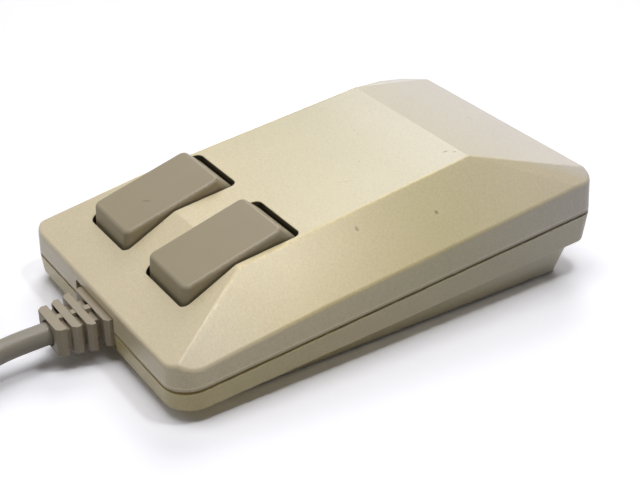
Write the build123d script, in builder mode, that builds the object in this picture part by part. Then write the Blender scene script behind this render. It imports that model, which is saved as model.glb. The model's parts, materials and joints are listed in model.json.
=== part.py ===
from build123d import *
from math import atan2, cos, degrees, pi, radians, sqrt, tan
import os

# Two-button ball mouse, wedge-shaped, with a ribbed strain relief and a coiled lead.
# Millimetres. +Y is the rear (palm end), the lead leaves at the front (-Y), +Z is up.
# The origin is on the desk, below the middle of the casing. +X is the user's left.

# ---------------------------------------------------------------- casing
body_width = 66.0
body_length = 96.7
corner_radius = 6.0          # upright corners at the front
rear_corner_radius = 3.0
wall = 2.2
foot_height = 0.5            # how far the glide feet stand proud of the keel

seam_front_z = 6.47          # parting line between the two shells
seam_rear_z = 14.98
seam_gap_up = 0.15
seam_gap_down = 0.10
top_draft = 2.0              # degrees, inward going up
band_draft = 5.0             # degrees, inward going down

knee_from_front = 19.9       # crease between the front slope and the top
knee_z = 21.8
knee_inset = 11.8            # from the side to the end of the knee
ridge_from_rear = 23.2
ridge_z = 28.7
ridge_inset = 13.0
front_edge_z = 11.7
rear_edge_z = 23.7
side_rear_edge_z = 22.35
hip_left = (3.0, 4.8)        # facets across the rear corners: in along the rear edge, and along the side
hip_right = (9.5, 7.0)
crest_radius = 1.2           # moulded radius along every upper edge

seam_strip = 1.0             # bevelled strip above the parting line
seam_strip_depth = 0.3
lip_inset = 1.2              # tongue of the lower shell inside the upper one
lip_height = 1.7
lip_clearance = 0.15

band_front_z = 2.4           # underside of the band
band_rear_z = 8.55
band_floor = 1.3
band_edge_radius = 0.3
lip_root = 0.6               # how far the tongue reaches down into the lower wall
keel_half_width = 29.0       # at its underside
keel_draft = 22.5            # degrees, sides flare outward going up
keel_front_margin = 5.5
keel_rear_margin = 4.4
keel_corner = 3.0
keel_floor = 2.0
keel_edge_radius = 0.5
fuse = 0.01                  # overlap where two blocks of one shell join

grip_from_knee = 5.0         # thumb flats on the side bevels, from the knee back along the crest
grip_end = 32.5              # and from the front of the casing along the wall
grip_depth = 0.8             # how far they fall below the bevel at the front corner

# ---------------------------------------------------------------- buttons
button_gap = 0.45            # around the keycaps in their slots
slot_inner = 4.0             # from the middle plane
slot_width = 16.1
slot_front = 8.6             # from the front of the casing
slot_length = 25.6
slot_corner = 1.6
button_front_lean = 0.4      # front face leans back by this much
button_front_top_z = 19.75   # keycap's flat top, above its front edge
button_slope = 0.286
button_top_length = 20.8
button_tail_slope = 43.0     # degrees, rear end face
button_skirt_z = 13.8
button_edge = 0.9
button_corner = 1.5
button_wall = 1.8
button_press = 2.0           # degrees

hinge_from_slot = 4.9        # pivot axis behind the slots
hinge_z = 17.5
hinge_pin_radius = 1.0
hinge_running_gap = 0.05
hinge_barrel_radius = 2.6
hinge_ear = 2.4
hinge_ear_width = 6.2
hinge_side_gap = 0.3         # from the edge of a slot to its ear
pin_overhang = 0.4
pin_chamfer = 0.2
press_fit_gap = 0.02         # round pins, bushes and hubs in their seats
lever_thickness = 2.2

# ---------------------------------------------------------------- circuit board
pcb_z = 4.3
pcb_thickness = 1.6
pcb_half_width = 25.5
pcb_front_margin = 5.8
pcb_behind_ball = -6.0       # rear edge, from the ball's centre
pcb_clearance = 0.7
lead_radius = 0.35
lead_hole_gap = 0.15
lead_below = 1.2
switch_size = (5.8, 12.8, 6.5)
switch_x = 12.0
switch_from_pcb_front = 3.4
switch_corner = 0.4
switch_pin_pitch = 5.08
switch_hole_radius = 0.9     # two locating holes through each switch
switch_hole_spread = 3.2
switch_hole_height = 1.5
switch_plunger_y = 4.5       # plunger behind the front of its switch
plunger_size = (2.6, 1.6)
plunger_up = 1.3
plunger_down = 1.4
plunger_gap = 0.06
plunger_room = 1.2           # free depth below the plunger
plunger_edge = 0.3
press_foot = (3.2, 2.4)      # under each button, over its plunger
foot_gap = 0.1               # between that foot and the plunger
pcb_screw_x = 21.5
pcb_screw_margins = (4.0, 29.0)  # from the board's front edge
pcb_screw_radius = 1.1
pcb_screw_head = (2.1, 1.2)
pcb_screw_reach = 2.2        # below the board
pcb_hole_gap = 0.15
standoff_radius = 2.4
part_standoff = 0.3          # components above the board
ic_size = (19.0, 6.4, 3.3)
ic_x = 4.0
ic_behind_switches = 8.5
ic_pins_per_side = 7
ic_pin_pitch = 2.54
ic_row = 7.62
ic_edge = 0.4
ic_notch_radius = 0.9
ic_pin_lift = 2.0
ic_pin_width = 0.9
ic_pin_thickness = 0.3
resistor_x = -20.5
resistor_count = 3
resistor_pitch = 2.9
resistor_radius = 1.1
resistor_length = 5.4
resistor_span = 7.62
resistor_wire_radius = 0.3
capacitor_x = 19.5
capacitor_ahead_of_ic = 2.0
capacitor_radius = 2.5
capacitor_height = 7.0
capacitor_edge = 0.4
capacitor_pin = 1.25         # from its middle

# ---------------------------------------------------------------- ball and encoders
ball_radius = 11.0
ball_rubber = 1.55            # thickness of the skin over the steel core
ball_core_gap = 0.15
ball_from_rear = 34.35
well_gap = 1.2
well_wall = 1.5
well_top_z = 13.0
well_hole_gap = 0.6
cage_window_gap = 0.8        # around each roller, through the cage wall
well_groove_wall = 1.8
retainer_recess = 0.1        # set up from the underside of the keel
retainer_lift_gap = 0.1
retainer_thickness = 1.9
retainer_margin = 4.2        # from the ball's radius to the retainer's edge
retainer_gap = 0.3
retainer_hole_radius = 8.6
retainer_lug = 1.2
retainer_lug_width = 4.4
retainer_lug_height = 0.8
retainer_turn = 35.0         # degrees, from locked to its entry slots
retainer_hole_edge = 0.6
finger_recess = (2.4, 7.0)
finger_recess_depth = 0.7
finger_recess_corner = 1.0
pocket_floor = 2.0
contact_gap = 0.2            # ball to roller, drawn clear

shaft_radius = 0.9
shaft_gap = 0.05
roller_radius = 2.2
roller_length = 8.0
chopper_radius = 6.5
chopper_thickness = 0.8
chopper_slots = 32
chopper_slot = (2.0, 0.5)
chopper_rim = 0.6
chopper_hub_radius = 1.9
x_chopper_ahead = 19.0       # slotted wheel of the Y-lying shaft, ahead of the ball
y_chopper_x = 19.5           # slotted wheel of the X-lying shaft
roller_edge = 0.3
bush_radius = 1.9
bush_length = 2.4
post_width = 5.4
post_above = 2.6
post_gap = 0.6               # from a post to a sensor or LED
x_post_past_ball = 9.5
y_post_x = -8.6
optic_gap = 0.8              # from the slotted wheel to a sensor or LED
optic_size = (4.5, 2.0, 5.2)
optic_reach = 4.6            # sideways from the shaft's axis
optic_corner = 0.5
optic_lens_z = 9.1
optic_lens_radius = 0.45
optic_pin = 1.27             # from its middle

press_roller_radius = 3.0
press_roller_length = 6.0
press_axle_radius = 0.8
press_cheek = 1.2
press_pivot_out = 4.6        # pivot outward of the roller's axis
press_pivot_z = 6.8
press_side_gap = 0.3
press_eye = 1.9
press_ear = 1.4
press_ear_radius = 2.0
press_axle_overhang = 0.7
press_roller_edge = 0.4
press_spring_room = 2.1      # beside the arm, for its spring
spring_wire = 0.2            # radius
spring_radius = 1.2          # middle of the wire
spring_pitch = 0.34
spring_turns = 4

# ---------------------------------------------------------------- screws and feet
boss_radius = 4.2
boss_x = 21.5
boss_from_rear = 12.4
boss_top_z = 10.0
screw_radius = 1.4
screw_head_radius = 2.6
screw_head_height = 1.8
screw_gap = 0.1
screw_seat_z = 4.6
screw_length = 12.0
screw_end_gap = 0.6
screw_slot = (3.2, 0.6, 0.9)  # cross recess in the head
pcb_screw_slot = (2.8, 0.5, 0.5)
post_step = 1.2              # upper screw posts are slimmer than the bosses below
foot_size = (11.0, 5.0)
foot_thickness = 0.8
foot_corner = 1.0
foot_edge = 0.2
foot_fit = 0.1
foot_x = 20.5
foot_front_margin = 6.2      # from the front of the keel
foot_ahead_of_screw = 8.4

# ---------------------------------------------------------------- lead and plug
cable_diameter = 4.5
cable_z = 6.6
notch_left = 9.6             # opening for the strain relief, from the middle plane
notch_right = 7.2
notch_low_z = 2.9
notch_over_relief = 0.15     # above the relief's block
relief_plates = [            # outer and inner face from the casing's front, width, height over the lead's
    (10.2, 8.1, 9.8, 1.5),
    (7.2, 5.4, 11.2, 1.6),
    (4.5, 2.8, 12.8, 1.7),
]
relief_block_out = 1.4
relief_block_width = 14.0
relief_block_height = 1.5    # over the lead's
relief_block_z = 6.75
relief_core_width = 8.0
relief_core_height = 4.2
relief_nib_width = 1.5
relief_nib_depth = 0.9
relief_corner = 0.8
relief_edge = 0.25
relief_flange_gap = 0.5      # behind the casing's wall
relief_flange_width = 17.0
relief_flange = 1.4
relief_flange_height = 5.0
relief_flange_z = 7.0
relief_mouth_gap = 0.35      # flared opening around the lead
relief_mouth_depth = 1.0
wire_radius = 0.45
wire_count = 7
wire_pitch = 2.0
wire_spacing = 1.0           # where they leave the lead
wire_rise = 0.6
wire_end_gap = 0.35
header_depth = 5.0
header_base = 2.4
header_wall = 1.0
header_housing = 4.0
header_housing_gap = 0.1
header_end = 1.0
header_pin = 0.5
header_pin_height = 2.6
header_pin_gap = 0.1
header_from_front = 11.5
coil_mean_radius = 24.75
coil_turns_across = 4
coil_layers = 2
coil_y = -99.1
coil_side_x = 10.0           # where the lead joins the coil's outermost turn
coil_edge = 1.8
tail_end_y = -122.2
lead_trim = 0.3               # cut off the lead's end, which points slightly down
hood_width = 31.0
hood_height = 13.5
hood_neck_width = 12.5
hood_neck_length = 8.0
hood_flare = 4.5
hood_length = 31.0
hood_corner = 1.5
hood_edge = 1.2
hood_groove = (19.0, 1.0, 0.5)
hood_grooves = 4
hood_groove_pitch = 2.6
hood_groove_margin = 5.5
d_flange = (30.8, 12.5, 0.8)
d_flange_corner = 1.5
d_screw_x = 12.5
d_screw_radius = 1.6
d_width = 16.9
d_height = 8.3
d_depth = 5.8
d_wall = 0.5
d_corner = 2.2
d_lean = 10.0                # degrees
contact_pitch = 2.76
contact_row = 2.84
contact_radius = 0.95
contact_bore = 0.55
contact_floor = 1.0
contact_recess = 0.5
insulator_recess = 0.1

# ---------------------------------------------------------------- derived places
front_y = -body_length / 2
rear_y = body_length / 2
knee_y = front_y + knee_from_front
ridge_y = rear_y - ridge_from_rear
ball_y = rear_y - ball_from_rear
ball_z = ball_radius
floor_z = foot_height + keel_floor
pcb_top = pcb_z + pcb_thickness
tall = 2 * ridge_z
sides = {"left": 1, "right": -1}


def plane_through(a, b, c, outward):
    """The flat face through three points, its normal turned towards outward."""
    normal = (Vector(*b) - Vector(*a)).cross(Vector(*c) - Vector(*a))
    if normal.dot(Vector(*outward)) < 0:
        normal = normal * -1
    return Plane(origin=a, z_dir=normal)


def slope_plane(z_front, z_rear):
    """A plane level from side to side, through one height at each end of the casing."""
    return plane_through((0, front_y, z_front), (0, rear_y, z_rear), (10, front_y, z_front), (0, 0, 1))


def wall_planes(draft):
    """The four outer walls, hinged on the parting line. A positive draft leans them inward going up."""
    half = body_width / 2
    lean = 10.0 * tan(radians(draft))
    planes = []
    for sign in (1, -1):
        a = (sign * half, front_y, seam_front_z)
        b = (sign * half, rear_y, seam_rear_z)
        c = (sign * (half - lean), front_y, seam_front_z + 10.0)
        planes.append(plane_through(a, b, c, (sign, 0, 0)))
    for sign, y, z in ((-1, front_y, seam_front_z), (1, rear_y, seam_rear_z)):
        a = (-half, y, z)
        b = (half, y, z)
        c = (0, y - sign * lean, z + 10.0)
        planes.append(plane_through(a, b, c, (0, sign, 0)))
    return planes


def walled_block(planes, inset):
    """A tall block inside the four walls, moved in by inset, with rounded upright corners."""
    Box(2 * body_width, 2 * body_length, 3 * tall)
    for plane in planes:
        split(bisect_by=plane.offset(-inset), keep=Keep.BOTTOM)
    for end, radius in ((-1, corner_radius), (1, rear_corner_radius)):
        upright = edges().filter_by(lambda e: abs((e @ 1 - e @ 0).Z) > tall and end * e.center().Y > 0)
        fillet(upright, radius - inset)


def height_on(plane, x, y):
    """How high a plane is above a point of the desk."""
    n = plane.z_dir
    o = plane.origin
    return o.Z - (n.X * (x - o.X) + n.Y * (y - o.Y)) / n.Z


def trim_under(planes, inset=0.0):
    for plane in planes:
        split(bisect_by=plane.offset(-inset), keep=Keep.BOTTOM)


def save(builder, node):
    """Labels a finished piece and writes it under its node's name."""
    builder.part.label = node
    export_step(builder.part, f"parts/{node}.step")


os.makedirs("parts", exist_ok=True)

# ---------------------------------------------------------------- faces of the casing
knee_half = body_width / 2 - knee_inset
ridge_half = body_width / 2 - ridge_inset
front_slope = plane_through(
    (0, front_y, front_edge_z), (0, knee_y, knee_z), (10, knee_y, knee_z), (0, 0, 1))
top_slope = plane_through((0, knee_y, knee_z), (0, ridge_y, ridge_z), (10, ridge_y, ridge_z), (0, 0, 1))
rear_slope = plane_through(
    (0, ridge_y, ridge_z), (0, rear_y, rear_edge_z), (10, rear_y, rear_edge_z), (0, 0, 1))
facets = [front_slope, top_slope, rear_slope]
grips = []
for sign in sides.values():
    crest_front = Vector(sign * knee_half, knee_y, knee_z)
    crest_rear = Vector(sign * ridge_half, ridge_y, ridge_z)
    side_x = sign * body_width / 2
    bevel = plane_through(
        tuple(crest_front), tuple(crest_rear), (side_x, rear_y, side_rear_edge_z), (0, 0, 1))
    grip_top = crest_front + (crest_rear - crest_front).normalized() * grip_from_knee
    grip_low_y = front_y + grip_end
    grip_low = (side_x, grip_low_y, height_on(bevel, side_x, grip_low_y))
    grip_front = (side_x, front_y, height_on(bevel, side_x, front_y) - grip_depth)
    facets.append(bevel)
    across, along = hip_left if sign > 0 else hip_right
    hip_rear = (side_x - sign * across, rear_y, rear_edge_z)
    hip_side = (side_x, rear_y - along, height_on(bevel, side_x, rear_y - along))
    facets.append(plane_through(tuple(crest_rear), hip_rear, hip_side, (0, 0, 1)))
    grips.append(plane_through(tuple(grip_top), grip_low, grip_front, (0, 0, 1)))
seam = slope_plane(seam_front_z, seam_rear_z)
band_under = slope_plane(band_front_z, band_rear_z)
top_walls = wall_planes(top_draft)
band_walls = wall_planes(-band_draft)
slot_y = front_y + slot_front + slot_length / 2
slot_rear_y = front_y + slot_front + slot_length
slot_x = slot_inner + slot_width / 2
hinge_y = slot_rear_y + hinge_from_slot
ear_x = slot_x + slot_width / 2 + hinge_side_gap + hinge_ear / 2
pin_half = ear_x + hinge_ear / 2 + pin_overhang
boss_y = rear_y - boss_from_rear
boss_places = [(boss_x, boss_y), (-boss_x, boss_y)]
notch_x = (notch_right - notch_left) / 2
notch_width = notch_left + notch_right
notch_high_z = relief_block_z + (cable_diameter + relief_block_height) / 2 + notch_over_relief

# ---------------------------------------------------------------- upper shell
with BuildPart() as top_outer:
    walled_block(top_walls, 0)
    trim_under(facets + grips)
    upper_faces = faces().filter_by(lambda f: f.normal_at().Z > 0.5)
    fillet(ShapeList(set(upper_faces.edges())), crest_radius)
    split(bisect_by=seam.offset(seam_gap_up), keep=Keep.TOP)
    seam_face = faces().sort_by(Axis.Z)[0]
    chamfer(seam_face.edges(), length=seam_strip_depth, length2=seam_strip, reference=seam_face)

with BuildPart() as top_inner:
    walled_block(top_walls, wall)
    trim_under(facets + grips, wall)

with BuildPart() as lip_rebate:
    walled_block(top_walls, lip_inset - lip_clearance)
    split(bisect_by=seam.offset(lip_height + lip_clearance), keep=Keep.BOTTOM)

with BuildPart() as top_posts:
    with BuildSketch(Plane.XY.offset(boss_top_z)):
        with Locations(boss_places):
            Circle(boss_radius - post_step)
    extrude(amount=tall)
    with BuildSketch(Plane.XY.offset(hinge_z - hinge_barrel_radius)):
        with Locations((0, hinge_y), (ear_x, hinge_y), (-ear_x, hinge_y)):
            Rectangle(hinge_ear, hinge_ear_width)
    extrude(amount=tall)
    trim_under(facets, wall / 2)
    with BuildSketch(Plane.XY.offset(boss_top_z)):
        with Locations(boss_places):
            Circle(screw_radius + screw_gap / 2)
    extrude(amount=screw_seat_z + screw_length + screw_end_gap - boss_top_z, mode=Mode.SUBTRACT)

with BuildPart() as top_shell:
    add(top_outer.part)
    add(top_inner.part, mode=Mode.SUBTRACT)
    add(lip_rebate.part, mode=Mode.SUBTRACT)
    add(top_posts.part)
    # bore of the hinge pin
    with BuildSketch(Plane.YZ):
        with Locations((hinge_y, hinge_z)):
            Circle(hinge_pin_radius + press_fit_gap)
    extrude(amount=pin_half + press_fit_gap, both=True, mode=Mode.SUBTRACT)
    # two slots for the keycaps
    with BuildSketch(Plane.XY):
        with Locations((slot_x, slot_y), (-slot_x, slot_y)):
            RectangleRounded(slot_width, slot_length, slot_corner)
    extrude(amount=tall, mode=Mode.SUBTRACT)
    # upper half of the opening for the strain relief
    with BuildSketch(Plane.XZ.offset(-front_y)):
        with Locations((notch_x, (notch_low_z + notch_high_z) / 2)):
            Rectangle(notch_width, notch_high_z - notch_low_z)
    extrude(amount=1.5 * wall, both=True, mode=Mode.SUBTRACT)
save(top_shell, "top_shell")

# ---------------------------------------------------------------- places inside the casing
well_bore = ball_radius + well_gap
pocket_radius = ball_radius + retainer_margin + retainer_gap
groove_radius = pocket_radius + retainer_lug
retainer_z = foot_height + retainer_recess
retainer_top_z = retainer_z + retainer_thickness
pocket_top_z = retainer_top_z + retainer_lift_gap
well_floor_top_z = pocket_top_z + pocket_floor
well_boss_radius = groove_radius + well_groove_wall
encoder_reach = ball_radius + roller_radius
x_shaft_x = -encoder_reach
y_shaft_y = ball_y - encoder_reach
x_chopper_y = ball_y - x_chopper_ahead
optic_back = chopper_thickness / 2 + optic_gap + optic_size[1] + post_gap
x_posts = [x_chopper_y - optic_back - bush_length / 2, ball_y + x_post_past_ball]
y_posts = [y_post_x, y_chopper_x + optic_back + bush_length / 2]
press_axis_out = ball_radius + contact_gap + press_roller_radius
press_pivot_down = ball_z - press_pivot_z
press_pivot = (press_axis_out + press_pivot_out, -press_pivot_down)
press_plane = Plane(origin=(0, ball_y, ball_z), x_dir=(1, 1, 0), z_dir=(1, -1, 0))
press_half = press_roller_length / 2
press_cheek_in = press_half + press_side_gap
press_cheek_out = press_cheek_in + press_cheek
press_ears = [press_cheek_out + press_spring_room, -(press_cheek_out + press_side_gap)]
pcb_front_y = front_y + pcb_front_margin
pcb_rear_y = ball_y + pcb_behind_ball
pcb_screw_places = [(s * pcb_screw_x, pcb_front_y + margin) for s in (1, -1) for margin in pcb_screw_margins]
keel_front_y = front_y + keel_front_margin
keel_rear_y = rear_y - keel_rear_margin
keel_middle_z = foot_height + keel_floor / 2
foot_places = {
    "front_left_foot": (foot_x, keel_front_y + foot_front_margin),
    "front_right_foot": (-foot_x, keel_front_y + foot_front_margin),
    "rear_left_foot": (foot_x, boss_y - foot_ahead_of_screw),
    "rear_right_foot": (-foot_x, boss_y - foot_ahead_of_screw),
}
# section plane, place in that plane, bearing posts, roller and slotted wheel along the shaft
encoders = {
    "x": (Plane.XZ, x_shaft_x, x_posts, ball_y, x_chopper_y),
    "y": (Plane.YZ, y_shaft_y, y_posts, 0.0, y_chopper_x),
}


def across(plane, along):
    """An encoder's section plane, moved to a place along its shaft."""
    return plane.offset(-along if plane.z_dir.Y < 0 else along)


def keel_block(inset, low_z):
    """Wedge that hangs below the band, flaring outward going up."""
    flare = tan(radians(keel_draft))
    low_half = keel_half_width - inset / cos(radians(keel_draft)) + (low_z - foot_height) * flare
    high_half = low_half + (tall - low_z) * flare
    with BuildPart() as block:
        with BuildSketch(Plane.XZ.offset(-keel_rear_y + inset)):
            with BuildLine():
                Polyline(
                    (-low_half, low_z), (low_half, low_z), (high_half, tall), (-high_half, tall), close=True)
            make_face()
        extrude(amount=keel_rear_y - keel_front_y - 2 * inset)
    return block.part


# ---------------------------------------------------------------- lower shell
with BuildPart() as keel_outer:
    add(keel_block(0, foot_height))
    split(bisect_by=band_under.offset(fuse), keep=Keep.BOTTOM)
    corners = edges().filter_by(lambda e: abs((e @ 1 - e @ 0).Y) < 0.1 and abs((e @ 1 - e @ 0).Z) > 1)
    fillet(corners.filter_by(lambda e: e.center().Y > 0), keel_corner)
    fillet(faces().sort_by(Axis.Z)[0].edges(), keel_edge_radius)

with BuildPart() as keel_inner:
    add(keel_block(keel_floor, floor_z))
    split(bisect_by=band_under.offset(2 * band_floor), keep=Keep.BOTTOM)

with BuildPart() as band_outer:
    walled_block(band_walls, 0)
    split(bisect_by=seam.offset(-seam_gap_down), keep=Keep.BOTTOM)
    split(bisect_by=band_under, keep=Keep.TOP)
    fillet(faces().filter_by(lambda f: f.normal_at().Z < -0.9).edges(), band_edge_radius)

with BuildPart() as band_inner:
    walled_block(band_walls, wall)
    split(bisect_by=band_under.offset(band_floor), keep=Keep.TOP)

with BuildPart() as lip_bore:
    walled_block(top_walls, wall)

with BuildPart() as lip:
    walled_block(top_walls, lip_inset)
    add(lip_bore.part, mode=Mode.SUBTRACT)
    split(bisect_by=seam.offset(lip_height), keep=Keep.BOTTOM)
    split(bisect_by=seam.offset(-lip_root), keep=Keep.TOP)

with BuildPart() as bottom_shell:
    add(band_outer.part)
    add(lip.part)
    add(keel_outer.part)
    add(band_inner.part, mode=Mode.SUBTRACT)
    add(keel_inner.part, mode=Mode.SUBTRACT)
    # raised ring around the ball, screw bosses and standoffs, each up from the middle of the floor
    for places, radius, top_z in (
        ([(0, ball_y)], well_boss_radius, well_floor_top_z),
        (boss_places, boss_radius, boss_top_z),
        (pcb_screw_places, standoff_radius, pcb_z),
    ):
        with BuildSketch(Plane.XY.offset(keel_middle_z)):
            with Locations(places):
                Circle(radius)
        extrude(amount=top_z - keel_middle_z)
    # cage wall around the ball
    with BuildSketch(Plane.XY.offset(well_floor_top_z - fuse)):
        with Locations((0, ball_y)):
            Circle(well_bore + well_wall)
            Circle(well_bore, mode=Mode.SUBTRACT)
    extrude(amount=well_top_z - well_floor_top_z + fuse)
    # bearing posts of the two encoder shafts
    with BuildSketch(Plane.XY.offset(keel_middle_z)):
        with Locations([(x_shaft_x, y) for y in x_posts]):
            Rectangle(post_width, bush_length)
        with Locations([(x, y_shaft_y) for x in y_posts]):
            Rectangle(bush_length, post_width)
    extrude(amount=ball_z + post_above - keel_middle_z)
    # ears of the pressure arm
    ear_low = keel_middle_z - ball_z
    ear_high = press_pivot[1] + press_ear_radius
    for ear in press_ears:
        with BuildSketch(press_plane.offset(ear)):
            with Locations((press_pivot[0], (ear_low + ear_high) / 2)):
                Rectangle(2 * press_ear_radius, ear_high - ear_low)
        extrude(amount=press_ear if ear > 0 else -press_ear)
    # windows in the cage for the rollers
    window = 2 * (roller_radius + cage_window_gap)
    window_long = roller_length + 2 * cage_window_gap
    with BuildSketch(Plane.XY.offset(ball_z - window / 2)):
        with Locations((x_shaft_x, ball_y)):
            Rectangle(window, window_long)
        with Locations((0, y_shaft_y)):
            Rectangle(window_long, window)
    extrude(amount=tall, mode=Mode.SUBTRACT)
    press_window = press_roller_radius + cage_window_gap
    with BuildSketch(press_plane):
        with Locations((press_axis_out, tall / 2 - press_window)):
            Rectangle(2 * press_window, tall)
    extrude(amount=press_cheek_out + press_side_gap, both=True, mode=Mode.SUBTRACT)
    # bores for bushes and pins
    for plane, shaft_at, posts, _, _ in encoders.values():
        with BuildSketch(across(plane, sum(posts) / 2)):
            with Locations((shaft_at, ball_z)):
                Circle(bush_radius + press_fit_gap)
        extrude(amount=(posts[1] - posts[0]) / 2 + bush_length, both=True, mode=Mode.SUBTRACT)
    with BuildSketch(press_plane):
        with Locations(press_pivot):
            Circle(press_axle_radius + press_fit_gap)
    extrude(amount=press_ears[0] + 2 * press_ear, both=True, mode=Mode.SUBTRACT)
    # pocket, bayonet groove and entry slots of the ball retainer, and the hole above it
    with BuildSketch(Plane.XY):
        with Locations((0, ball_y)):
            Circle(pocket_radius)
        with Locations(Location((0, ball_y, 0), (0, 0, retainer_turn))):
            Rectangle(2 * groove_radius, retainer_lug_width + 2 * retainer_gap)
    extrude(amount=pocket_top_z, mode=Mode.SUBTRACT)
    with BuildSketch(Plane.XY.offset(retainer_top_z - retainer_lug_height - retainer_lift_gap)):
        with Locations((0, ball_y)):
            Circle(groove_radius)
    extrude(amount=retainer_lug_height + 2 * retainer_lift_gap, mode=Mode.SUBTRACT)
    with BuildSketch(Plane.XY):
        with Locations((0, ball_y)):
            Circle(ball_radius + well_hole_gap)
    extrude(amount=2 * well_floor_top_z, mode=Mode.SUBTRACT)
    # screw holes, from below
    with BuildSketch(Plane.XY):
        with Locations(boss_places):
            Circle(screw_head_radius + screw_gap)
    extrude(amount=screw_seat_z, mode=Mode.SUBTRACT)
    with BuildSketch(Plane.XY):
        with Locations(boss_places):
            Circle(screw_radius + screw_gap)
    extrude(amount=2 * boss_top_z, mode=Mode.SUBTRACT)
    with BuildSketch(Plane.XY.offset(pcb_z - pcb_screw_reach - pcb_hole_gap)):
        with Locations(pcb_screw_places):
            Circle(pcb_screw_radius + press_fit_gap)
    extrude(amount=pcb_screw_reach + pcb_thickness, mode=Mode.SUBTRACT)
    # recesses of the glide feet
    with BuildSketch(Plane.XY):
        with Locations(list(foot_places.values())):
            RectangleRounded(
                foot_size[0] + 2 * foot_fit, foot_size[1] + 2 * foot_fit, foot_corner + foot_fit)
    extrude(amount=foot_thickness, mode=Mode.SUBTRACT)
    # lower half of the opening for the strain relief
    with BuildSketch(Plane.XZ.offset(-front_y)):
        with Locations((notch_x, (notch_low_z + notch_high_z) / 2)):
            Rectangle(notch_width, notch_high_z - notch_low_z)
    extrude(amount=1.5 * wall, both=True, mode=Mode.SUBTRACT)
save(bottom_shell, "bottom_shell")

# ---------------------------------------------------------------- buttons and switches
cap_front_y = front_y + slot_front + button_gap
cap_half = slot_width / 2 - button_gap
top_front_y = cap_front_y + button_front_lean
top_rear_y = top_front_y + button_top_length
top_rear_z = button_front_top_z + button_slope * button_top_length
tail_y = slot_rear_y - button_gap
tail_z = top_rear_z - (tail_y - top_rear_y) * tan(radians(button_tail_slope))
switch_front_y = pcb_front_y + switch_from_pcb_front
switch_y = switch_front_y + switch_size[1] / 2
plunger_y = switch_front_y + switch_plunger_y
switch_top_z = pcb_top + switch_size[2]
plunger_top_z = switch_top_z + plunger_up
press_foot_z = plunger_top_z + foot_gap
press_foot_top_z = button_front_top_z + button_slope * (plunger_y - top_front_y) - button_wall / 2
lever_y = tail_y - button_wall / 2
pin_steps = (-switch_pin_pitch, 0, switch_pin_pitch)
switch_pins_at = [(s * switch_x, switch_y + step) for s in sides.values() for step in pin_steps]

for side, sign in sides.items():
    cap_plane = Plane.YZ.offset(sign * slot_x)
    with BuildPart() as keycap:
        with BuildSketch(cap_plane):
            with BuildLine():
                Polyline(
                    (cap_front_y, button_skirt_z),
                    (top_front_y, button_front_top_z),
                    (top_rear_y, top_rear_z),
                    (tail_y, tail_z),
                    (tail_y, button_skirt_z),
                    close=True,
                )
            make_face()
        extrude(amount=cap_half, both=True)
        raised = edges().filter_by(lambda e: abs((e @ 1 - e @ 0).X) < fuse)
        raised = raised.filter_by(lambda e: e.center().Z > button_skirt_z + fuse)
        front_upright = raised.group_by(Axis.Y)[0]
        tail_slanted = raised.filter_by(lambda e: e.center().Y > top_rear_y + fuse and e.center().Z > tail_z)
        fillet(front_upright + tail_slanted, button_corner)
        fillet(faces().sort_by(Axis.Z)[-1].edges(), button_edge)
        # hollow underside
        with BuildSketch(cap_plane):
            with BuildLine():
                Polyline(
                    (cap_front_y + button_wall, button_skirt_z - fuse),
                    (top_front_y + button_wall, button_front_top_z - button_wall),
                    (top_rear_y - button_wall, top_rear_z - 2 * button_wall),
                    (tail_y - button_wall, tail_z - button_wall),
                    (tail_y - button_wall, button_skirt_z - fuse),
                    close=True,
                )
            make_face()
        extrude(amount=cap_half - button_wall, both=True, mode=Mode.SUBTRACT)
        # foot over the plunger, lever and hinge barrel
        with BuildSketch(Plane.XY.offset(press_foot_z)):
            with Locations((sign * switch_x, plunger_y)):
                Rectangle(*press_foot)
        extrude(amount=press_foot_top_z - press_foot_z)
        with BuildSketch(cap_plane):
            with Locations(((lever_y + hinge_y) / 2, hinge_z)):
                Rectangle(hinge_y - lever_y, lever_thickness)
            with Locations((hinge_y, hinge_z)):
                Circle(hinge_barrel_radius)
        extrude(amount=cap_half, both=True)
        with BuildSketch(cap_plane):
            with Locations((hinge_y, hinge_z)):
                Circle(hinge_pin_radius + hinge_running_gap)
        extrude(amount=slot_width, both=True, mode=Mode.SUBTRACT)
    save(keycap, f"{side}_button")

    with BuildPart() as switch_body:
        with Locations((sign * switch_x, switch_y, pcb_top + switch_size[2] / 2)):
            Box(*switch_size)
        fillet(edges().filter_by(Axis.Z), switch_corner)
        with Locations((sign * switch_x, plunger_y, switch_top_z)):
            Box(
                plunger_size[0] + 2 * plunger_gap,
                plunger_size[1] + 2 * plunger_gap,
                2 * (plunger_down + plunger_room),
                mode=Mode.SUBTRACT,
            )
        with BuildSketch(Plane.YZ.offset(sign * switch_x)):
            with Locations((switch_y, pcb_top + switch_hole_height)):
                with GridLocations(2 * switch_hole_spread, 0, 2, 1):
                    Circle(switch_hole_radius)
        extrude(amount=switch_size[0], both=True, mode=Mode.SUBTRACT)
    save(switch_body, f"{side}_switch_body")

    with BuildPart() as plunger:
        with Locations((sign * switch_x, plunger_y, switch_top_z + (plunger_up - plunger_down) / 2)):
            Box(plunger_size[0], plunger_size[1], plunger_up + plunger_down)
        fillet(edges().group_by(Axis.Z)[-1], plunger_edge)
    save(plunger, f"{side}_switch_plunger")

with BuildPart() as hinge_pin:
    with BuildSketch(Plane.YZ):
        with Locations((hinge_y, hinge_z)):
            Circle(hinge_pin_radius)
    extrude(amount=pin_half, both=True)
    chamfer(edges(), pin_chamfer)
save(hinge_pin, "button_hinge_pin")

# ---------------------------------------------------------------- ball and retainer
with BuildPart() as ball_core:
    with Locations((0, ball_y, ball_z)):
        Sphere(ball_radius - ball_rubber - ball_core_gap)
save(ball_core, "ball_core")

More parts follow.
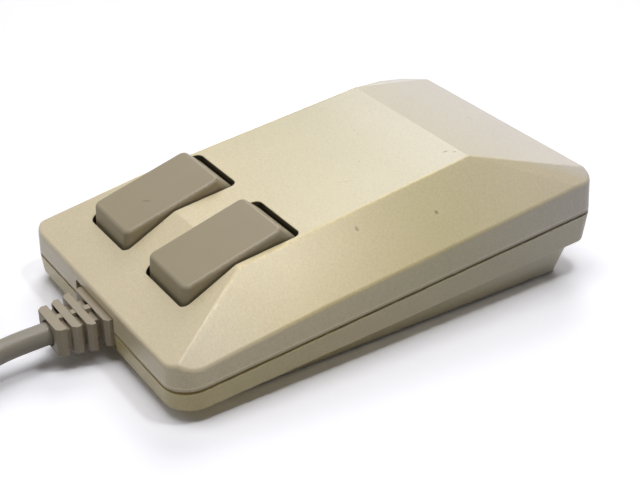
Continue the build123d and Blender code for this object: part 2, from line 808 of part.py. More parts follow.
with BuildPart() as ball_skin:
    with Locations((0, ball_y, ball_z)):
        Sphere(ball_radius)
        Sphere(ball_radius - ball_rubber, mode=Mode.SUBTRACT)
save(ball_skin, "ball_skin")

retainer_radius = ball_radius + retainer_margin
with BuildPart() as retainer:
    with BuildSketch(Plane.XY.offset(retainer_z)):
        with Locations((0, ball_y)):
            Circle(retainer_radius)
    extrude(amount=retainer_thickness)
    with BuildSketch(Plane.XY.offset(retainer_top_z - retainer_lug_height)):
        with Locations((0, ball_y)):
            Rectangle(2 * (groove_radius - retainer_gap), retainer_lug_width)
    extrude(amount=retainer_lug_height)
    with BuildSketch(Plane.XY):
        with Locations((0, ball_y)):
            Circle(retainer_hole_radius)
    extrude(amount=tall, mode=Mode.SUBTRACT)
    low_rings = edges().filter_by(GeomType.CIRCLE).group_by(Axis.Z)[0]
    chamfer(low_rings.sort_by(SortBy.RADIUS)[0], retainer_hole_edge)
    # finger recesses
    with BuildSketch(Plane.XY.offset(retainer_z)):
        with Locations((0, ball_y)):
            with PolarLocations((retainer_hole_radius + retainer_radius) / 2, 2, start_angle=90):
                RectangleRounded(*finger_recess, finger_recess_corner)
    extrude(amount=finger_recess_depth, mode=Mode.SUBTRACT)
save(retainer, "ball_retainer")

# ---------------------------------------------------------------- encoders
for axis, (plane, shaft_at, posts, roller_at, chopper_at) in encoders.items():
    with BuildPart() as shaft:
        with BuildSketch(across(plane, sum(posts) / 2)):
            with Locations((shaft_at, ball_z)):
                Circle(shaft_radius)
        extrude(amount=(posts[1] - posts[0] + bush_length) / 2 + pin_overhang, both=True)
        chamfer(edges(), pin_chamfer)
    save(shaft, f"{axis}_encoder_shaft")

    with BuildPart() as roller:
        with BuildSketch(across(plane, roller_at)):
            with Locations((shaft_at, ball_z)):
                Circle(roller_radius)
                Circle(shaft_radius + press_fit_gap, mode=Mode.SUBTRACT)
        extrude(amount=roller_length / 2, both=True)
        chamfer(edges().group_by(SortBy.LENGTH)[-1], roller_edge)
    save(roller, f"{axis}_encoder_roller")

    with BuildPart() as chopper:
        with BuildSketch(across(plane, chopper_at)):
            with Locations((shaft_at, ball_z)):
                Circle(chopper_radius)
                with PolarLocations(chopper_radius - chopper_rim - chopper_slot[0] / 2, chopper_slots):
                    Rectangle(*chopper_slot, mode=Mode.SUBTRACT)
        extrude(amount=chopper_thickness / 2, both=True)
        with BuildSketch(across(plane, chopper_at)):
            with Locations((shaft_at, ball_z)):
                Circle(chopper_hub_radius)
        extrude(amount=chopper_thickness / 2 + optic_gap, both=True)
        with BuildSketch(across(plane, chopper_at)):
            with Locations((shaft_at, ball_z)):
                Circle(shaft_radius + press_fit_gap)
        extrude(amount=chopper_thickness + optic_gap, both=True, mode=Mode.SUBTRACT)
    save(chopper, f"{axis}_slotted_wheel")

    with BuildPart() as bushes:
        for post in posts:
            with BuildSketch(across(plane, post)):
                with Locations((shaft_at, ball_z)):
                    Circle(bush_radius)
                    Circle(shaft_radius + shaft_gap, mode=Mode.SUBTRACT)
            extrude(amount=bush_length / 2, both=True)
    save(bushes, f"{axis}_shaft_bushes")


def leads(places, high):
    """Round leads at their places, from a height down through the circuit board."""
    with BuildPart() as wires_down:
        with Locations([(x, y, high) for x, y in places]):
            Cylinder(lead_radius, high - pcb_z + lead_below, align=(Align.CENTER, Align.CENTER, Align.MAX))
    return wires_down.part


with BuildPart() as switch_pins:
    add(leads(switch_pins_at, pcb_top))
save(switch_pins, "switch_pins")

# infrared LEDs and phototransistors, on both sides of each slotted wheel
optic_width, optic_depth, optic_height = optic_size
optic_off = chopper_thickness / 2 + optic_gap + optic_depth / 2
optics = {
    "x_led": (x_shaft_x - optic_reach, x_chopper_y - optic_off, 0, 1),
    "x_phototransistor": (x_shaft_x - optic_reach, x_chopper_y + optic_off, 0, -1),
    "y_led": (y_chopper_x - optic_off, y_shaft_y - optic_reach, 1, 0),
    "y_phototransistor": (y_chopper_x + optic_off, y_shaft_y - optic_reach, -1, 0),
}
optic_pins_at = []
for node, (x, y, facing_x, facing_y) in optics.items():
    size_x, size_y = (optic_width, optic_depth) if facing_y else (optic_depth, optic_width)
    pins = [(x + step * abs(facing_y), y + step * abs(facing_x)) for step in (-optic_pin, optic_pin)]
    optic_pins_at += pins
    with BuildPart() as optic:
        with Locations((x, y, pcb_top + part_standoff + optic_height / 2)):
            Box(size_x, size_y, optic_height)
        fillet(edges().filter_by(Axis.Z), optic_corner)
        with Locations((x + facing_x * optic_depth / 2, y + facing_y * optic_depth / 2, optic_lens_z)):
            Sphere(optic_lens_radius)
        add(leads(pins, pcb_top + 2 * part_standoff))
    save(optic, node)

# ---------------------------------------------------------------- pressure roller
with BuildPart() as press_roller:
    with BuildSketch(press_plane):
        with Locations((press_axis_out, 0)):
            Circle(press_roller_radius)
            Circle(press_axle_radius + shaft_gap, mode=Mode.SUBTRACT)
    extrude(amount=press_half, both=True)
    chamfer(edges().group_by(SortBy.LENGTH)[-1], press_roller_edge)
save(press_roller, "pressure_roller")

with BuildPart() as press_axle:
    with BuildSketch(press_plane):
        with Locations((press_axis_out, 0)):
            Circle(press_axle_radius)
    extrude(amount=press_cheek_out + press_axle_overhang, both=True)
save(press_axle, "pressure_roller_axle")

arm_turn = degrees(atan2(-press_pivot_down, press_pivot_out))
arm_reach = sqrt(press_pivot_out**2 + press_pivot_down**2)
arm_middle = ((press_axis_out + press_pivot[0]) / 2, press_pivot[1] / 2)
with BuildPart() as press_arm:
    for sign in sides.values():
        with BuildSketch(press_plane.offset(sign * press_cheek_in)):
            with Locations(Location((*arm_middle, 0), (0, 0, arm_turn))):
                SlotCenterToCenter(arm_reach, 2 * press_eye)
        extrude(amount=sign * press_cheek)
    with BuildSketch(press_plane):
        with Locations(press_pivot):
            Circle(press_eye)
    extrude(amount=press_cheek_out, both=True)
    with BuildSketch(press_plane):
        with Locations(press_pivot):
            Circle(press_axle_radius + shaft_gap)
        with Locations((press_axis_out, 0)):
            Circle(press_axle_radius + press_fit_gap)
    extrude(amount=2 * press_cheek_out, both=True, mode=Mode.SUBTRACT)
save(press_arm, "pressure_arm")

with BuildPart() as press_pin:
    with BuildSketch(press_plane.offset(press_ears[1] - press_ear)):
        with Locations(press_pivot):
            Circle(press_axle_radius)
    extrude(amount=press_ears[0] - press_ears[1] + 2 * press_ear)
save(press_pin, "pressure_arm_pin")

# torsion spring beside the arm: coils round the pin, one leg over the axle and one to the floor
spring_side = press_cheek_out + spring_wire + press_side_gap / 2
spring_leg_down = press_pivot[1] + ball_z - floor_z - press_side_gap
with BuildPart() as press_spring:
    for turn in range(spring_turns):
        coil_plane = press_plane.offset(spring_side + turn * spring_pitch)
        with Locations(coil_plane.location * Location((*press_pivot, 0))):
            Torus(spring_radius, spring_wire)
    with BuildSketch(press_plane.offset(spring_side - spring_wire)):
        with Locations(Location((*arm_middle, 0), (0, 0, arm_turn)) * Location((0, spring_radius, 0))):
            Rectangle(arm_reach + 2 * press_axle_radius, 2 * spring_wire)
    extrude(amount=2 * spring_wire)
    with BuildSketch(coil_plane.offset(-spring_wire)):
        with Locations((press_pivot[0] + spring_radius, press_pivot[1] - spring_leg_down / 2)):
            Rectangle(2 * spring_wire, spring_leg_down)
    extrude(amount=2 * spring_wire)
save(press_spring, "pressure_spring")

# ---------------------------------------------------------------- circuit board and what is on it
ic_y = switch_front_y + switch_size[1] + ic_behind_switches
ic_steps = [ic_pin_pitch * (i - (ic_pins_per_side - 1) / 2) for i in range(ic_pins_per_side)]
ic_pins_at = [(ic_x + step, ic_y + s * ic_row / 2) for step in ic_steps for s in (1, -1)]
resistors_at = [(resistor_x, ic_y - i * resistor_pitch) for i in range(resistor_count)]
resistor_pins_at = [(x + s * resistor_span / 2, y) for x, y in resistors_at for s in (1, -1)]
capacitor_y = ic_y - capacitor_ahead_of_ic
capacitor_pins_at = [(capacitor_x + s * capacitor_pin, capacitor_y) for s in (1, -1)]
header_y = front_y + header_from_front
header_pins_at = [(wire_pitch * (i - (wire_count - 1) / 2), header_y) for i in range(wire_count)]
header_width = (wire_count - 1) * wire_pitch + 2 * header_end
lead_holes_at = switch_pins_at + optic_pins_at + ic_pins_at + resistor_pins_at
lead_holes_at += capacitor_pins_at + header_pins_at

with BuildPart() as pcb:
    with BuildSketch(Plane.XY.offset(pcb_z)):
        with Locations((0, (pcb_front_y + pcb_rear_y) / 2)):
            Rectangle(2 * pcb_half_width, pcb_rear_y - pcb_front_y)
        with Locations((0, ball_y)):
            Circle(well_boss_radius + pcb_clearance, mode=Mode.SUBTRACT)
        post_hole = (post_width + 2 * pcb_clearance, bush_length + 2 * pcb_clearance)
        with Locations((x_shaft_x, x_posts[0])):
            Rectangle(*post_hole, mode=Mode.SUBTRACT)
        with Locations([(x, y_shaft_y) for x in y_posts]):
            Rectangle(*reversed(post_hole), mode=Mode.SUBTRACT)
        wheel_half = sqrt(chopper_radius**2 - (ball_z - pcb_top) ** 2)
        wheel_slot = (2 * (wheel_half + pcb_clearance), chopper_thickness + 2 * pcb_clearance)
        with Locations((x_shaft_x, x_chopper_y)):
            Rectangle(*wheel_slot, mode=Mode.SUBTRACT)
        with Locations((y_chopper_x, y_shaft_y)):
            Rectangle(*reversed(wheel_slot), mode=Mode.SUBTRACT)
        with Locations(lead_holes_at):
            Circle(lead_radius + lead_hole_gap, mode=Mode.SUBTRACT)
        with Locations(pcb_screw_places):
            Circle(pcb_screw_radius + pcb_hole_gap, mode=Mode.SUBTRACT)
    extrude(amount=pcb_thickness)
save(pcb, "pcb")

with BuildPart() as ic:
    with Locations((ic_x, ic_y, pcb_top + part_standoff + ic_size[2] / 2)):
        Box(*ic_size)
    chamfer(edges().filter_by(Axis.X).group_by(Axis.Z)[-1], ic_edge)
    with Locations((ic_x - ic_size[0] / 2, ic_y, pcb_top + part_standoff + ic_size[2])):
        Cylinder(ic_notch_radius, 2 * ic_edge, mode=Mode.SUBTRACT)
    # each pin leaves the side level and turns down at its lead
    shoulder = (ic_row - ic_size[1]) / 2 + lead_radius
    for s in (1, -1):
        shoulder_y = ic_y + s * (ic_size[1] + shoulder) / 2
        with Locations([(ic_x + step, shoulder_y, pcb_top + ic_pin_lift) for step in ic_steps]):
            Box(ic_pin_width, shoulder, ic_pin_thickness)
    add(leads(ic_pins_at, pcb_top + ic_pin_lift + ic_pin_thickness / 2))
save(ic, "comparator_ic")

resistor_z = pcb_top + part_standoff + resistor_radius
with BuildPart() as resistors:
    with BuildSketch(Plane.YZ.offset(resistor_x)):
        with Locations([(y, resistor_z) for _, y in resistors_at]):
            Circle(resistor_radius)
    extrude(amount=resistor_length / 2, both=True)
    with BuildSketch(Plane.YZ.offset(resistor_x)):
        with Locations([(y, resistor_z) for _, y in resistors_at]):
            Circle(resistor_wire_radius)
    extrude(amount=resistor_span / 2, both=True)
    add(leads(resistor_pins_at, resistor_z + lead_radius))
save(resistors, "resistors")

with BuildPart() as capacitor:
    with BuildSketch(Plane.XY.offset(pcb_top + part_standoff)):
        with Locations((capacitor_x, capacitor_y)):
            Circle(capacitor_radius)
    extrude(amount=capacitor_height)
    fillet(edges().group_by(Axis.Z)[-1], capacitor_edge)
    add(leads(capacitor_pins_at, pcb_top + 2 * part_standoff))
save(capacitor, "capacitor")

header_top_z = pcb_top + header_base
housing_depth = header_depth - header_wall - header_housing_gap
housing_y = header_y - (header_depth - housing_depth) / 2
with BuildPart() as header:
    with BuildSketch(Plane.XY.offset(pcb_top)):
        with Locations((0, header_y)):
            Rectangle(header_width, header_depth)
    extrude(amount=header_base)
    with BuildSketch(Plane.XY.offset(header_top_z)):
        with Locations((0, header_y + (header_depth - header_wall) / 2)):
            Rectangle(header_width, header_wall)
    extrude(amount=header_housing)
    with BuildSketch(Plane.XY.offset(header_top_z)):
        with Locations(header_pins_at):
            Rectangle(header_pin, header_pin)
    extrude(amount=header_pin_height)
    add(leads(header_pins_at, pcb_top + part_standoff))
save(header, "cable_header")

housing_z = header_top_z + header_housing_gap
with BuildPart() as housing:
    with BuildSketch(Plane.XY.offset(housing_z)):
        with Locations((0, housing_y)):
            Rectangle(header_width, housing_depth)
    extrude(amount=header_housing)
    with BuildSketch(Plane.XY.offset(housing_z)):
        with Locations(header_pins_at):
            Rectangle(header_pin + 2 * header_pin_gap, header_pin + 2 * header_pin_gap)
    extrude(amount=header_pin_height, mode=Mode.SUBTRACT)
save(housing, "cable_housing")

# ---------------------------------------------------------------- strain relief and wires
relief_front_y = front_y - relief_plates[0][0]
relief_inner_y = front_y + wall + relief_flange_gap
nib_spread = cable_diameter + relief_plates[0][3] - relief_nib_depth
with BuildPart() as relief:
    for outer, inner, width, extra in relief_plates:
        with BuildSketch(Plane.XZ.offset(-front_y + inner)):
            with Locations((0, cable_z)):
                Rectangle(width, cable_diameter + extra)
        extrude(amount=outer - inner)
    with BuildSketch(Plane.XZ.offset(-relief_inner_y)):
        with Locations((0, relief_block_z)):
            Rectangle(relief_block_width, cable_diameter + relief_block_height)
    extrude(amount=relief_inner_y - front_y + relief_block_out)
    faced = [front_y - plate[0] for plate in relief_plates] + [front_y - relief_block_out]
    upright = edges().filter_by(Axis.Z)
    chamfer(upright.filter_by(lambda e: min(abs(e.center().Y - y) for y in faced) < fuse), relief_corner)
    fillet(edges().filter_by(Axis.Z).filter_by(lambda e: e.center().Y < front_y), relief_edge)
    # spine, and the nibs that bridge the plates
    with BuildSketch(Plane.XZ.offset(-relief_inner_y)):
        with Locations((0, cable_z)):
            Rectangle(relief_core_width, relief_core_height)
    extrude(amount=relief_inner_y - relief_front_y - relief_mouth_depth)
    with BuildSketch(Plane.XZ.offset(-front_y)):
        with Locations((0, cable_z)):
            with GridLocations(0, nib_spread, 1, 2):
                Rectangle(relief_nib_width, relief_nib_depth)
    extrude(amount=relief_plates[0][1])
    # flange behind the wall
    with BuildSketch(Plane.XZ.offset(-relief_inner_y)):
        with Locations((0, relief_flange_z)):
            Rectangle(relief_flange_width, relief_flange_height)
    extrude(amount=-relief_flange)
    # mouth around the lead
    with BuildSketch(Plane.XZ.offset(-relief_front_y)):
        with Locations((0, cable_z)):
            Circle(cable_diameter / 2 + relief_mouth_gap)
    extrude(amount=-relief_mouth_depth, mode=Mode.SUBTRACT)
save(relief, "strain_relief")

wire_start_y = relief_inner_y + relief_flange + wire_end_gap
wire_end_y = housing_y - housing_depth / 2 - wire_end_gap
with BuildPart() as wires:
    for i in range(wire_count):
        step = i - (wire_count - 1) / 2
        start = Vector(step * wire_spacing, wire_start_y, cable_z + wire_rise * (-1) ** i)
        end = Vector(step * wire_pitch, wire_end_y, housing_z + header_housing / 2)
        with BuildSketch(Plane(origin=start, z_dir=end - start)):
            Circle(wire_radius)
        extrude(amount=(end - start).length)
save(wires, "cable_wires")

# ---------------------------------------------------------------- lead, coil and plug
cable_radius = cable_diameter / 2
coil_outer = coil_mean_radius + coil_turns_across * cable_radius
coil_inner = coil_mean_radius - coil_turns_across * cable_radius
coil_x = coil_side_x + cable_radius - coil_outer
coil_height = coil_layers * cable_diameter
upper_turn_z = coil_height - cable_radius
mouth_floor_y = relief_front_y + relief_mouth_depth
lead_points = [
    (0, mouth_floor_y + lead_trim, cable_z),
    (0, -65.2, 6.1),
    (2.2, -72.6, 4.8),
    (7.4, -80.6, 2.3),
    (10.3, -89.7, 2.3),
    (coil_side_x, coil_y, cable_radius),
]


def corner_radii(points):
    """Arc radius at each corner: 0.45 of the shorter run over the tangent of half the turn."""
    radii = []
    for a, b, c in zip(points, points[1:], points[2:]):
        before = Vector(*b) - Vector(*a)
        after = Vector(*c) - Vector(*b)
        half_turn = radians(before.get_angle(after)) / 2
        radii.append(0.45 * min(before.length, after.length) / tan(half_turn))
    return radii


lead_radii = corner_radii(lead_points)
with BuildPart() as lead:
    with BuildLine():
        route = FilletPolyline(*lead_points, radius=lead_radii)
    with BuildSketch(Plane(origin=route @ 0, z_dir=route % 0)):
        Circle(cable_radius)
    sweep(path=route)
    # its end is cut square, flat on the floor of the strain relief's mouth
    with Locations((0, mouth_floor_y, cable_z)):
        Box(
            2 * cable_diameter, lead_trim * 2, 2 * cable_diameter,
            align=(Align.CENTER, Align.MIN, Align.CENTER), mode=Mode.SUBTRACT)
print("lead: arc radii", [round(r, 1) for r in lead_radii], "length", round(route.length, 2))
print("lead: volume over section times length", lead.part.volume / (pi * cable_radius**2 * route.length))
save(lead, "cable_lead")

with BuildPart() as coil:
    with BuildSketch(Plane.XY):
        with Locations((coil_x, coil_y)):
            Circle(coil_outer)
            Circle(coil_inner, mode=Mode.SUBTRACT)
    extrude(amount=coil_height)
    fillet(edges(), coil_edge)
save(coil, "cable_coil")

with BuildPart() as tail:
    with BuildSketch(Plane.XZ.offset(-coil_y)):
        with Locations((coil_side_x, upper_turn_z)):
            Circle(cable_radius)
    extrude(amount=coil_y - tail_end_y)
save(tail, "cable_tail")

hood_front_y = tail_end_y - hood_length
hood_shoulder_y = tail_end_y - hood_neck_length
hood_wide_y = hood_shoulder_y - hood_flare
with BuildPart() as hood:
    with BuildSketch(Plane.XY):
        with BuildLine():
            half_outline = Polyline(
                (coil_side_x, tail_end_y),
                (coil_side_x + hood_neck_width / 2, tail_end_y),
                (coil_side_x + hood_neck_width / 2, hood_shoulder_y),
                (coil_side_x + hood_width / 2, hood_wide_y),
                (coil_side_x + hood_width / 2, hood_front_y),
                (coil_side_x, hood_front_y),
            )
            mirror(half_outline, about=Plane.YZ.offset(coil_side_x))
        make_face()
    extrude(amount=hood_height)
    fillet(edges().filter_by(Axis.Z).filter_by(lambda e: e.center().Y > hood_front_y + fuse), hood_corner)
    for level in (0, -1):
        rim = edges().group_by(Axis.Z)[level].filter_by(lambda e: e.center().Y > hood_front_y + fuse)
        fillet(rim, hood_edge)
    # thumb grooves on both faces
    grooves_y = hood_front_y + hood_groove_margin + hood_groove_pitch * (hood_grooves - 1) / 2
    with Locations((coil_side_x, grooves_y, 0), (coil_side_x, grooves_y, hood_height)):
        with GridLocations(0, hood_groove_pitch, 1, hood_grooves):
            Box(hood_groove[0], hood_groove[1], 2 * hood_groove[2], mode=Mode.SUBTRACT)
save(hood, "plug_hood")


def d_section(inset):
    """The D-shaped section, wider along its top edge, drawn inset from the metal shell's outside."""
    half_top = d_width / 2 - inset
    half_low = half_top - (d_height - 2 * inset) * tan(radians(d_lean))
    high = d_height / 2 - inset
    with BuildSketch() as section:
        with BuildLine():
            Polyline((-half_top, high), (half_top, high), (half_low, -high), (-half_low, -high), close=True)
        make_face()
        fillet(vertices(), d_corner - inset)
    return section.sketch


plug_face = Plane(origin=(coil_side_x, hood_front_y, hood_height / 2), x_dir=(1, 0, 0), z_dir=(0, -1, 0))
plug_reach = d_flange[2] + d_depth
with BuildPart() as plug_shell:
    with BuildSketch(plug_face):
        RectangleRounded(d_flange[0], d_flange[1], d_flange_corner)
        with GridLocations(2 * d_screw_x, 0, 2, 1):
            Circle(d_screw_radius, mode=Mode.SUBTRACT)
    extrude(amount=d_flange[2])
    with BuildSketch(plug_face):
        add(d_section(0))
    extrude(amount=plug_reach)
    with BuildSketch(plug_face):
        add(d_section(d_wall))
    extrude(amount=plug_reach, mode=Mode.SUBTRACT)
save(plug_shell, "plug_shell")

contacts_at = [(contact_pitch * (i - 2), contact_row / 2) for i in range(5)]
contacts_at += [(contact_pitch * (i - 1.5), -contact_row / 2) for i in range(4)]
with BuildPart() as insulator:
    with BuildSketch(plug_face):
        add(d_section(d_wall + press_fit_gap))
        with Locations(contacts_at):
            Circle(contact_radius + press_fit_gap, mode=Mode.SUBTRACT)
    extrude(amount=plug_reach - insulator_recess)
save(insulator, "plug_insulator")

with BuildPart() as contacts:
    with BuildSketch(plug_face):
        with Locations(contacts_at):
            Circle(contact_radius)
    extrude(amount=plug_reach - contact_recess)
    with BuildSketch(plug_face.offset(contact_floor)):
        with Locations(contacts_at):
            Circle(contact_bore)
    extrude(amount=plug_reach, mode=Mode.SUBTRACT)
save(contacts, "plug_contacts")

# ---------------------------------------------------------------- fasteners and feet
def cross_recess(places, slot):
    """Crossed slots cut into screw heads at the given places, half above and half below them."""
    length, width, depth = slot
    with Locations(places):
        Box(length, width, 2 * depth, mode=Mode.SUBTRACT)
        Box(width, length, 2 * depth, mode=Mode.SUBTRACT)


with BuildPart() as case_screws:
    with Locations([(x, y, screw_seat_z) for x, y in boss_places]):
        Cylinder(screw_head_radius, screw_head_height, align=(Align.CENTER, Align.CENTER, Align.MAX))
        Cylinder(screw_radius, screw_length, align=(Align.CENTER, Align.CENTER, Align.MIN))
    cross_recess([(x, y, screw_seat_z - screw_head_height) for x, y in boss_places], screw_slot)
save(case_screws, "case_screws")

with BuildPart() as pcb_screws:
    with Locations([(x, y, pcb_top) for x, y in pcb_screw_places]):
        Cylinder(*pcb_screw_head, align=(Align.CENTER, Align.CENTER, Align.MIN))
        Cylinder(
            pcb_screw_radius, pcb_thickness + pcb_screw_reach, align=(Align.CENTER, Align.CENTER, Align.MAX))
    cross_recess([(x, y, pcb_top + pcb_screw_head[1]) for x, y in pcb_screw_places], pcb_screw_slot)
save(pcb_screws, "pcb_screws")

for node, place in foot_places.items():
    with BuildPart() as foot:
        with BuildSketch(Plane.XY):
            with Locations(place):
                RectangleRounded(*foot_size, foot_corner)
        extrude(amount=foot_thickness)
        fillet(edges().group_by(Axis.Z)[0], foot_edge)
    save(foot, node)
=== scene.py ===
# Two-button ball mouse: finishes, lead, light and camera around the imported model
import json
import math

import bmesh
import bpy
from mathutils import Matrix, Vector


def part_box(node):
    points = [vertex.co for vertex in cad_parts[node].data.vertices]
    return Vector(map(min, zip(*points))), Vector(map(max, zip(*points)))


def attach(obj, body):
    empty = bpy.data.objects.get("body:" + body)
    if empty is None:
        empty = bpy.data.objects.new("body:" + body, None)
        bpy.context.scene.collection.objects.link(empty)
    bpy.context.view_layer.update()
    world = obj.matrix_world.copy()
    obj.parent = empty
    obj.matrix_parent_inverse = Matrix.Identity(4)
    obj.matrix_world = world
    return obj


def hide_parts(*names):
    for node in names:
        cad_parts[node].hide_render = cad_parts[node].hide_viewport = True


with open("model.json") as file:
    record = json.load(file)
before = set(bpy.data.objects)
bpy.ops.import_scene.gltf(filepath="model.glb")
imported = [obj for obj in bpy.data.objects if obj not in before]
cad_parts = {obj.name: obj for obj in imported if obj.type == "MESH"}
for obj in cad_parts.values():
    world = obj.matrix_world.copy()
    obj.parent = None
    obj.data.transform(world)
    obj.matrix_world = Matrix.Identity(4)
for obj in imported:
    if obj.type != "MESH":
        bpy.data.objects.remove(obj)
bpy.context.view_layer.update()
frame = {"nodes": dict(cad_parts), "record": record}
scene = bpy.context.scene
scene.view_settings.view_transform = "Standard"
millimetre = 0.001
sharpTurn = math.radians(38)  # edges that turn more than this stay crisp


# ---- camera
camera = {
    "azimuth": 57.6,  # degrees, round from the front towards the user's left
    "elevation": 30.49,
    "roll": -0.79,
    "place": (0.20895, -0.12997, 0.15262),
    "lens": 77.04,  # mm on a 36 mm wide frame
}


def aimCamera(values):
    data = bpy.data.cameras.new("studioCamera")
    data.lens = values["lens"]
    data.sensor_width = 36
    data.clip_start = 0.01
    holder = bpy.data.objects.new("studioCamera", data)
    scene.collection.objects.link(holder)
    turn = Matrix.Rotation(math.radians(values["azimuth"]), 4, "Z")
    tilt = Matrix.Rotation(math.radians(90 - values["elevation"]), 4, "X")
    roll = Matrix.Rotation(math.radians(values["roll"]), 4, "Z")
    holder.matrix_world = Matrix.Translation(values["place"]) @ turn @ tilt @ roll
    scene.camera = holder


aimCamera(camera)
print("camera set")


# ---- the tie that holds the put-away coil
tie = {
    "place": (-0.0215, -0.12385, 0.0048),
    "size": (0.0036, 0.0184, 0.0087),  # the strap's width, and its opening round the coil
    "corner": 0.0021,
    "strap": 0.0007,
    "headAt": (-0.0215, -0.1197, 0.0106),
    "head": (0.0052, 0.0046, 0.0032),
    "tailInset": 0.0014,
    "tail": (0, 0.0003, 0.0014),  # how far the cut end leans and rises
    "ease": 0.00018,
}


def makeTie(values):
    # one strap with rounded corners, its locking head on top and the cut tail sticking out of it
    bpy.ops.object.select_all(action="DESELECT")
    bpy.ops.mesh.primitive_cube_add(size=1, location=values["place"], scale=values["size"])
    piece = bpy.context.object
    piece.name = "coilTie"
    bpy.ops.object.transform_apply(location=True, rotation=True, scale=True)
    bpy.ops.object.mode_set(mode="EDIT")
    mesh = bmesh.from_edit_mesh(piece.data)
    mesh.normal_update()
    for face in mesh.faces:
        face.select_set(abs(face.normal.x) > 0.9)
    bmesh.update_edit_mesh(piece.data)
    bpy.ops.mesh.delete(type="ONLY_FACE")
    mesh = bmesh.from_edit_mesh(piece.data)
    for edge in mesh.edges:
        along = edge.verts[0].co - edge.verts[1].co
        edge.select_set(abs(along.x) > 0.001)
    bmesh.update_edit_mesh(piece.data)
    bpy.ops.mesh.bevel(offset=values["corner"], segments=5)
    bpy.ops.object.mode_set(mode="OBJECT")
    strap = piece.modifiers.new("strapThickness", "SOLIDIFY")
    strap.thickness = values["strap"]
    strap.offset = 0
    bpy.ops.object.modifier_apply(modifier=strap.name)
    bpy.ops.object.mode_set(mode="EDIT")
    bpy.ops.mesh.select_all(action="DESELECT")
    bpy.ops.mesh.primitive_cube_add(size=1, location=values["headAt"], scale=values["head"])
    mesh = bmesh.from_edit_mesh(piece.data)
    mesh.normal_update()
    top = max(vert.co.z for vert in mesh.verts)
    for face in mesh.faces:
        face.select_set(face.calc_center_median().z > top - 1e-5)
    bmesh.update_edit_mesh(piece.data)
    bpy.ops.mesh.inset(thickness=values["tailInset"])
    bpy.ops.mesh.extrude_region_move(TRANSFORM_OT_translate={"value": values["tail"]})
    bpy.ops.object.mode_set(mode="OBJECT")
    edge = piece.modifiers.new("easedEdges", "BEVEL")
    edge.width = values["ease"]
    edge.segments = 2
    edge.limit_method = "ANGLE"
    bpy.ops.object.modifier_apply(modifier=edge.name)
    bpy.ops.object.shade_smooth_by_angle(angle=sharpTurn)
    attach(piece, "casing")
    return piece


# ---- the round lead: out of its relief, down to the desk, and put away as one coil
lead = {
    "diameter": 0.0045,
    "exit": (0, -0.05755, 0.0066),
    "towardsDesk": [
        (0, -0.05725, 0.0066),
        (0, -0.0672, 0.0065),
        (0.0014, -0.0738, 0.0055),
        (0.0064, -0.0812, 0.0028),
        (0.0103, -0.0897, 0.0023),
        (0.01, -0.0991, 0.00225),
    ],
    "coilCentre": (-0.0215, -0.0991),
    "turnRadii": (0.0315, 0.027, 0.0225, 0.018),
    "pointsPerTurn": 20,
    "layers": (0.00225, 0.00675),
    "stepIn": (0.68, 0.86),  # share of a turn over which the lower layer moves inwards
    "climb": (0.5, 0.68),
    "stepOut": (0.3, 0.5),
    "tail": [(0.01, -0.1068, 0.00675), (0.01, -0.1145, 0.00675), (0.01, -0.1222, 0.00675)],
    "length": 1.156,
}


def eased(value, window):
    return min(1, max(0, (value - window[0]) / (window[1] - window[0])))


def coilPoints(values):
    # four turns wind inwards on the desk and three outwards on top of them, clockwise from above
    x, y = values["coilCentre"]
    radii = values["turnRadii"]
    steps = values["pointsPerTurn"]
    low, high = values["layers"]
    last = len(radii) - 1
    outside = 1 / math.cos(math.pi / steps)  # the spline runs inside its points
    points = []
    for turn in range(2 * len(radii) - 1):
        for step in range(steps):
            share = step / steps
            if turn < last:
                reach = radii[turn] + (radii[turn + 1] - radii[turn]) * eased(share, values["stepIn"])
                z = low
            elif turn == last:
                reach = radii[last]
                z = low + (high - low) * eased(share, values["climb"])
            else:
                place = 2 * last - turn + 1
                reach = radii[place] + (radii[place - 1] - radii[place]) * eased(share, values["stepOut"])
                z = high
            if turn == 0 and step == 0:
                continue
            angle = -2 * math.pi * share
            points.append((x + outside * reach * math.cos(angle), y + outside * reach * math.sin(angle), z))
    points.append((x + radii[0], y, high))
    return points


def makeLead(values):
    points = values["towardsDesk"] + coilPoints(values) + values["tail"]
    curve = bpy.data.curves.new("roundLead", "CURVE")
    curve.dimensions = "3D"
    spline = curve.splines.new("NURBS")
    spline.points.add(len(points) - 1)
    for point, place in zip(spline.points, points):
        point.co = (*place, 1)
        point.radius = values["diameter"] / 2
    spline.order_u = 3
    spline.use_endpoint_u = True
    spline.resolution_u = 6
    curve.bevel_depth = 1  # times each point's radius
    curve.bevel_resolution = 7
    curve.use_fill_caps = True
    piece = bpy.data.objects.new("roundLead", curve)
    scene.collection.objects.link(piece)
    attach(piece, "casing")
    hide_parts("cable_lead", "cable_coil", "cable_tail")
    return piece


tiePiece = makeTie(tie)
leadPiece = makeLead(lead)
print("lead made")


# ---- finishes
def linear(hexColour):
    # sRGB hex to the linear colour that a socket takes
    parts = [int(hexColour[i:i + 2], 16) / 255 for i in (1, 3, 5)]
    return (*[c / 12.92 if c <= 0.04045 else ((c + 0.055) / 1.055) ** 2.4 for c in parts], 1)


def addNode(tree, kind, inputs=None, stops=None, **settings):
    node = tree.nodes.new(kind)
    for name, value in settings.items():
        setattr(node, name, value)
    for place, value in (inputs or {}).items():
        if isinstance(value, bpy.types.NodeSocket):
            tree.links.new(value, node.inputs[place])
        else:
            node.inputs[place].default_value = value
    if stops:
        elements = node.color_ramp.elements
        elements[0].position, elements[0].color = stops[0]
        elements[-1].position, elements[-1].color = stops[-1]
        for place, colour in stops[1:-1]:
            elements.new(place).color = colour
    return node


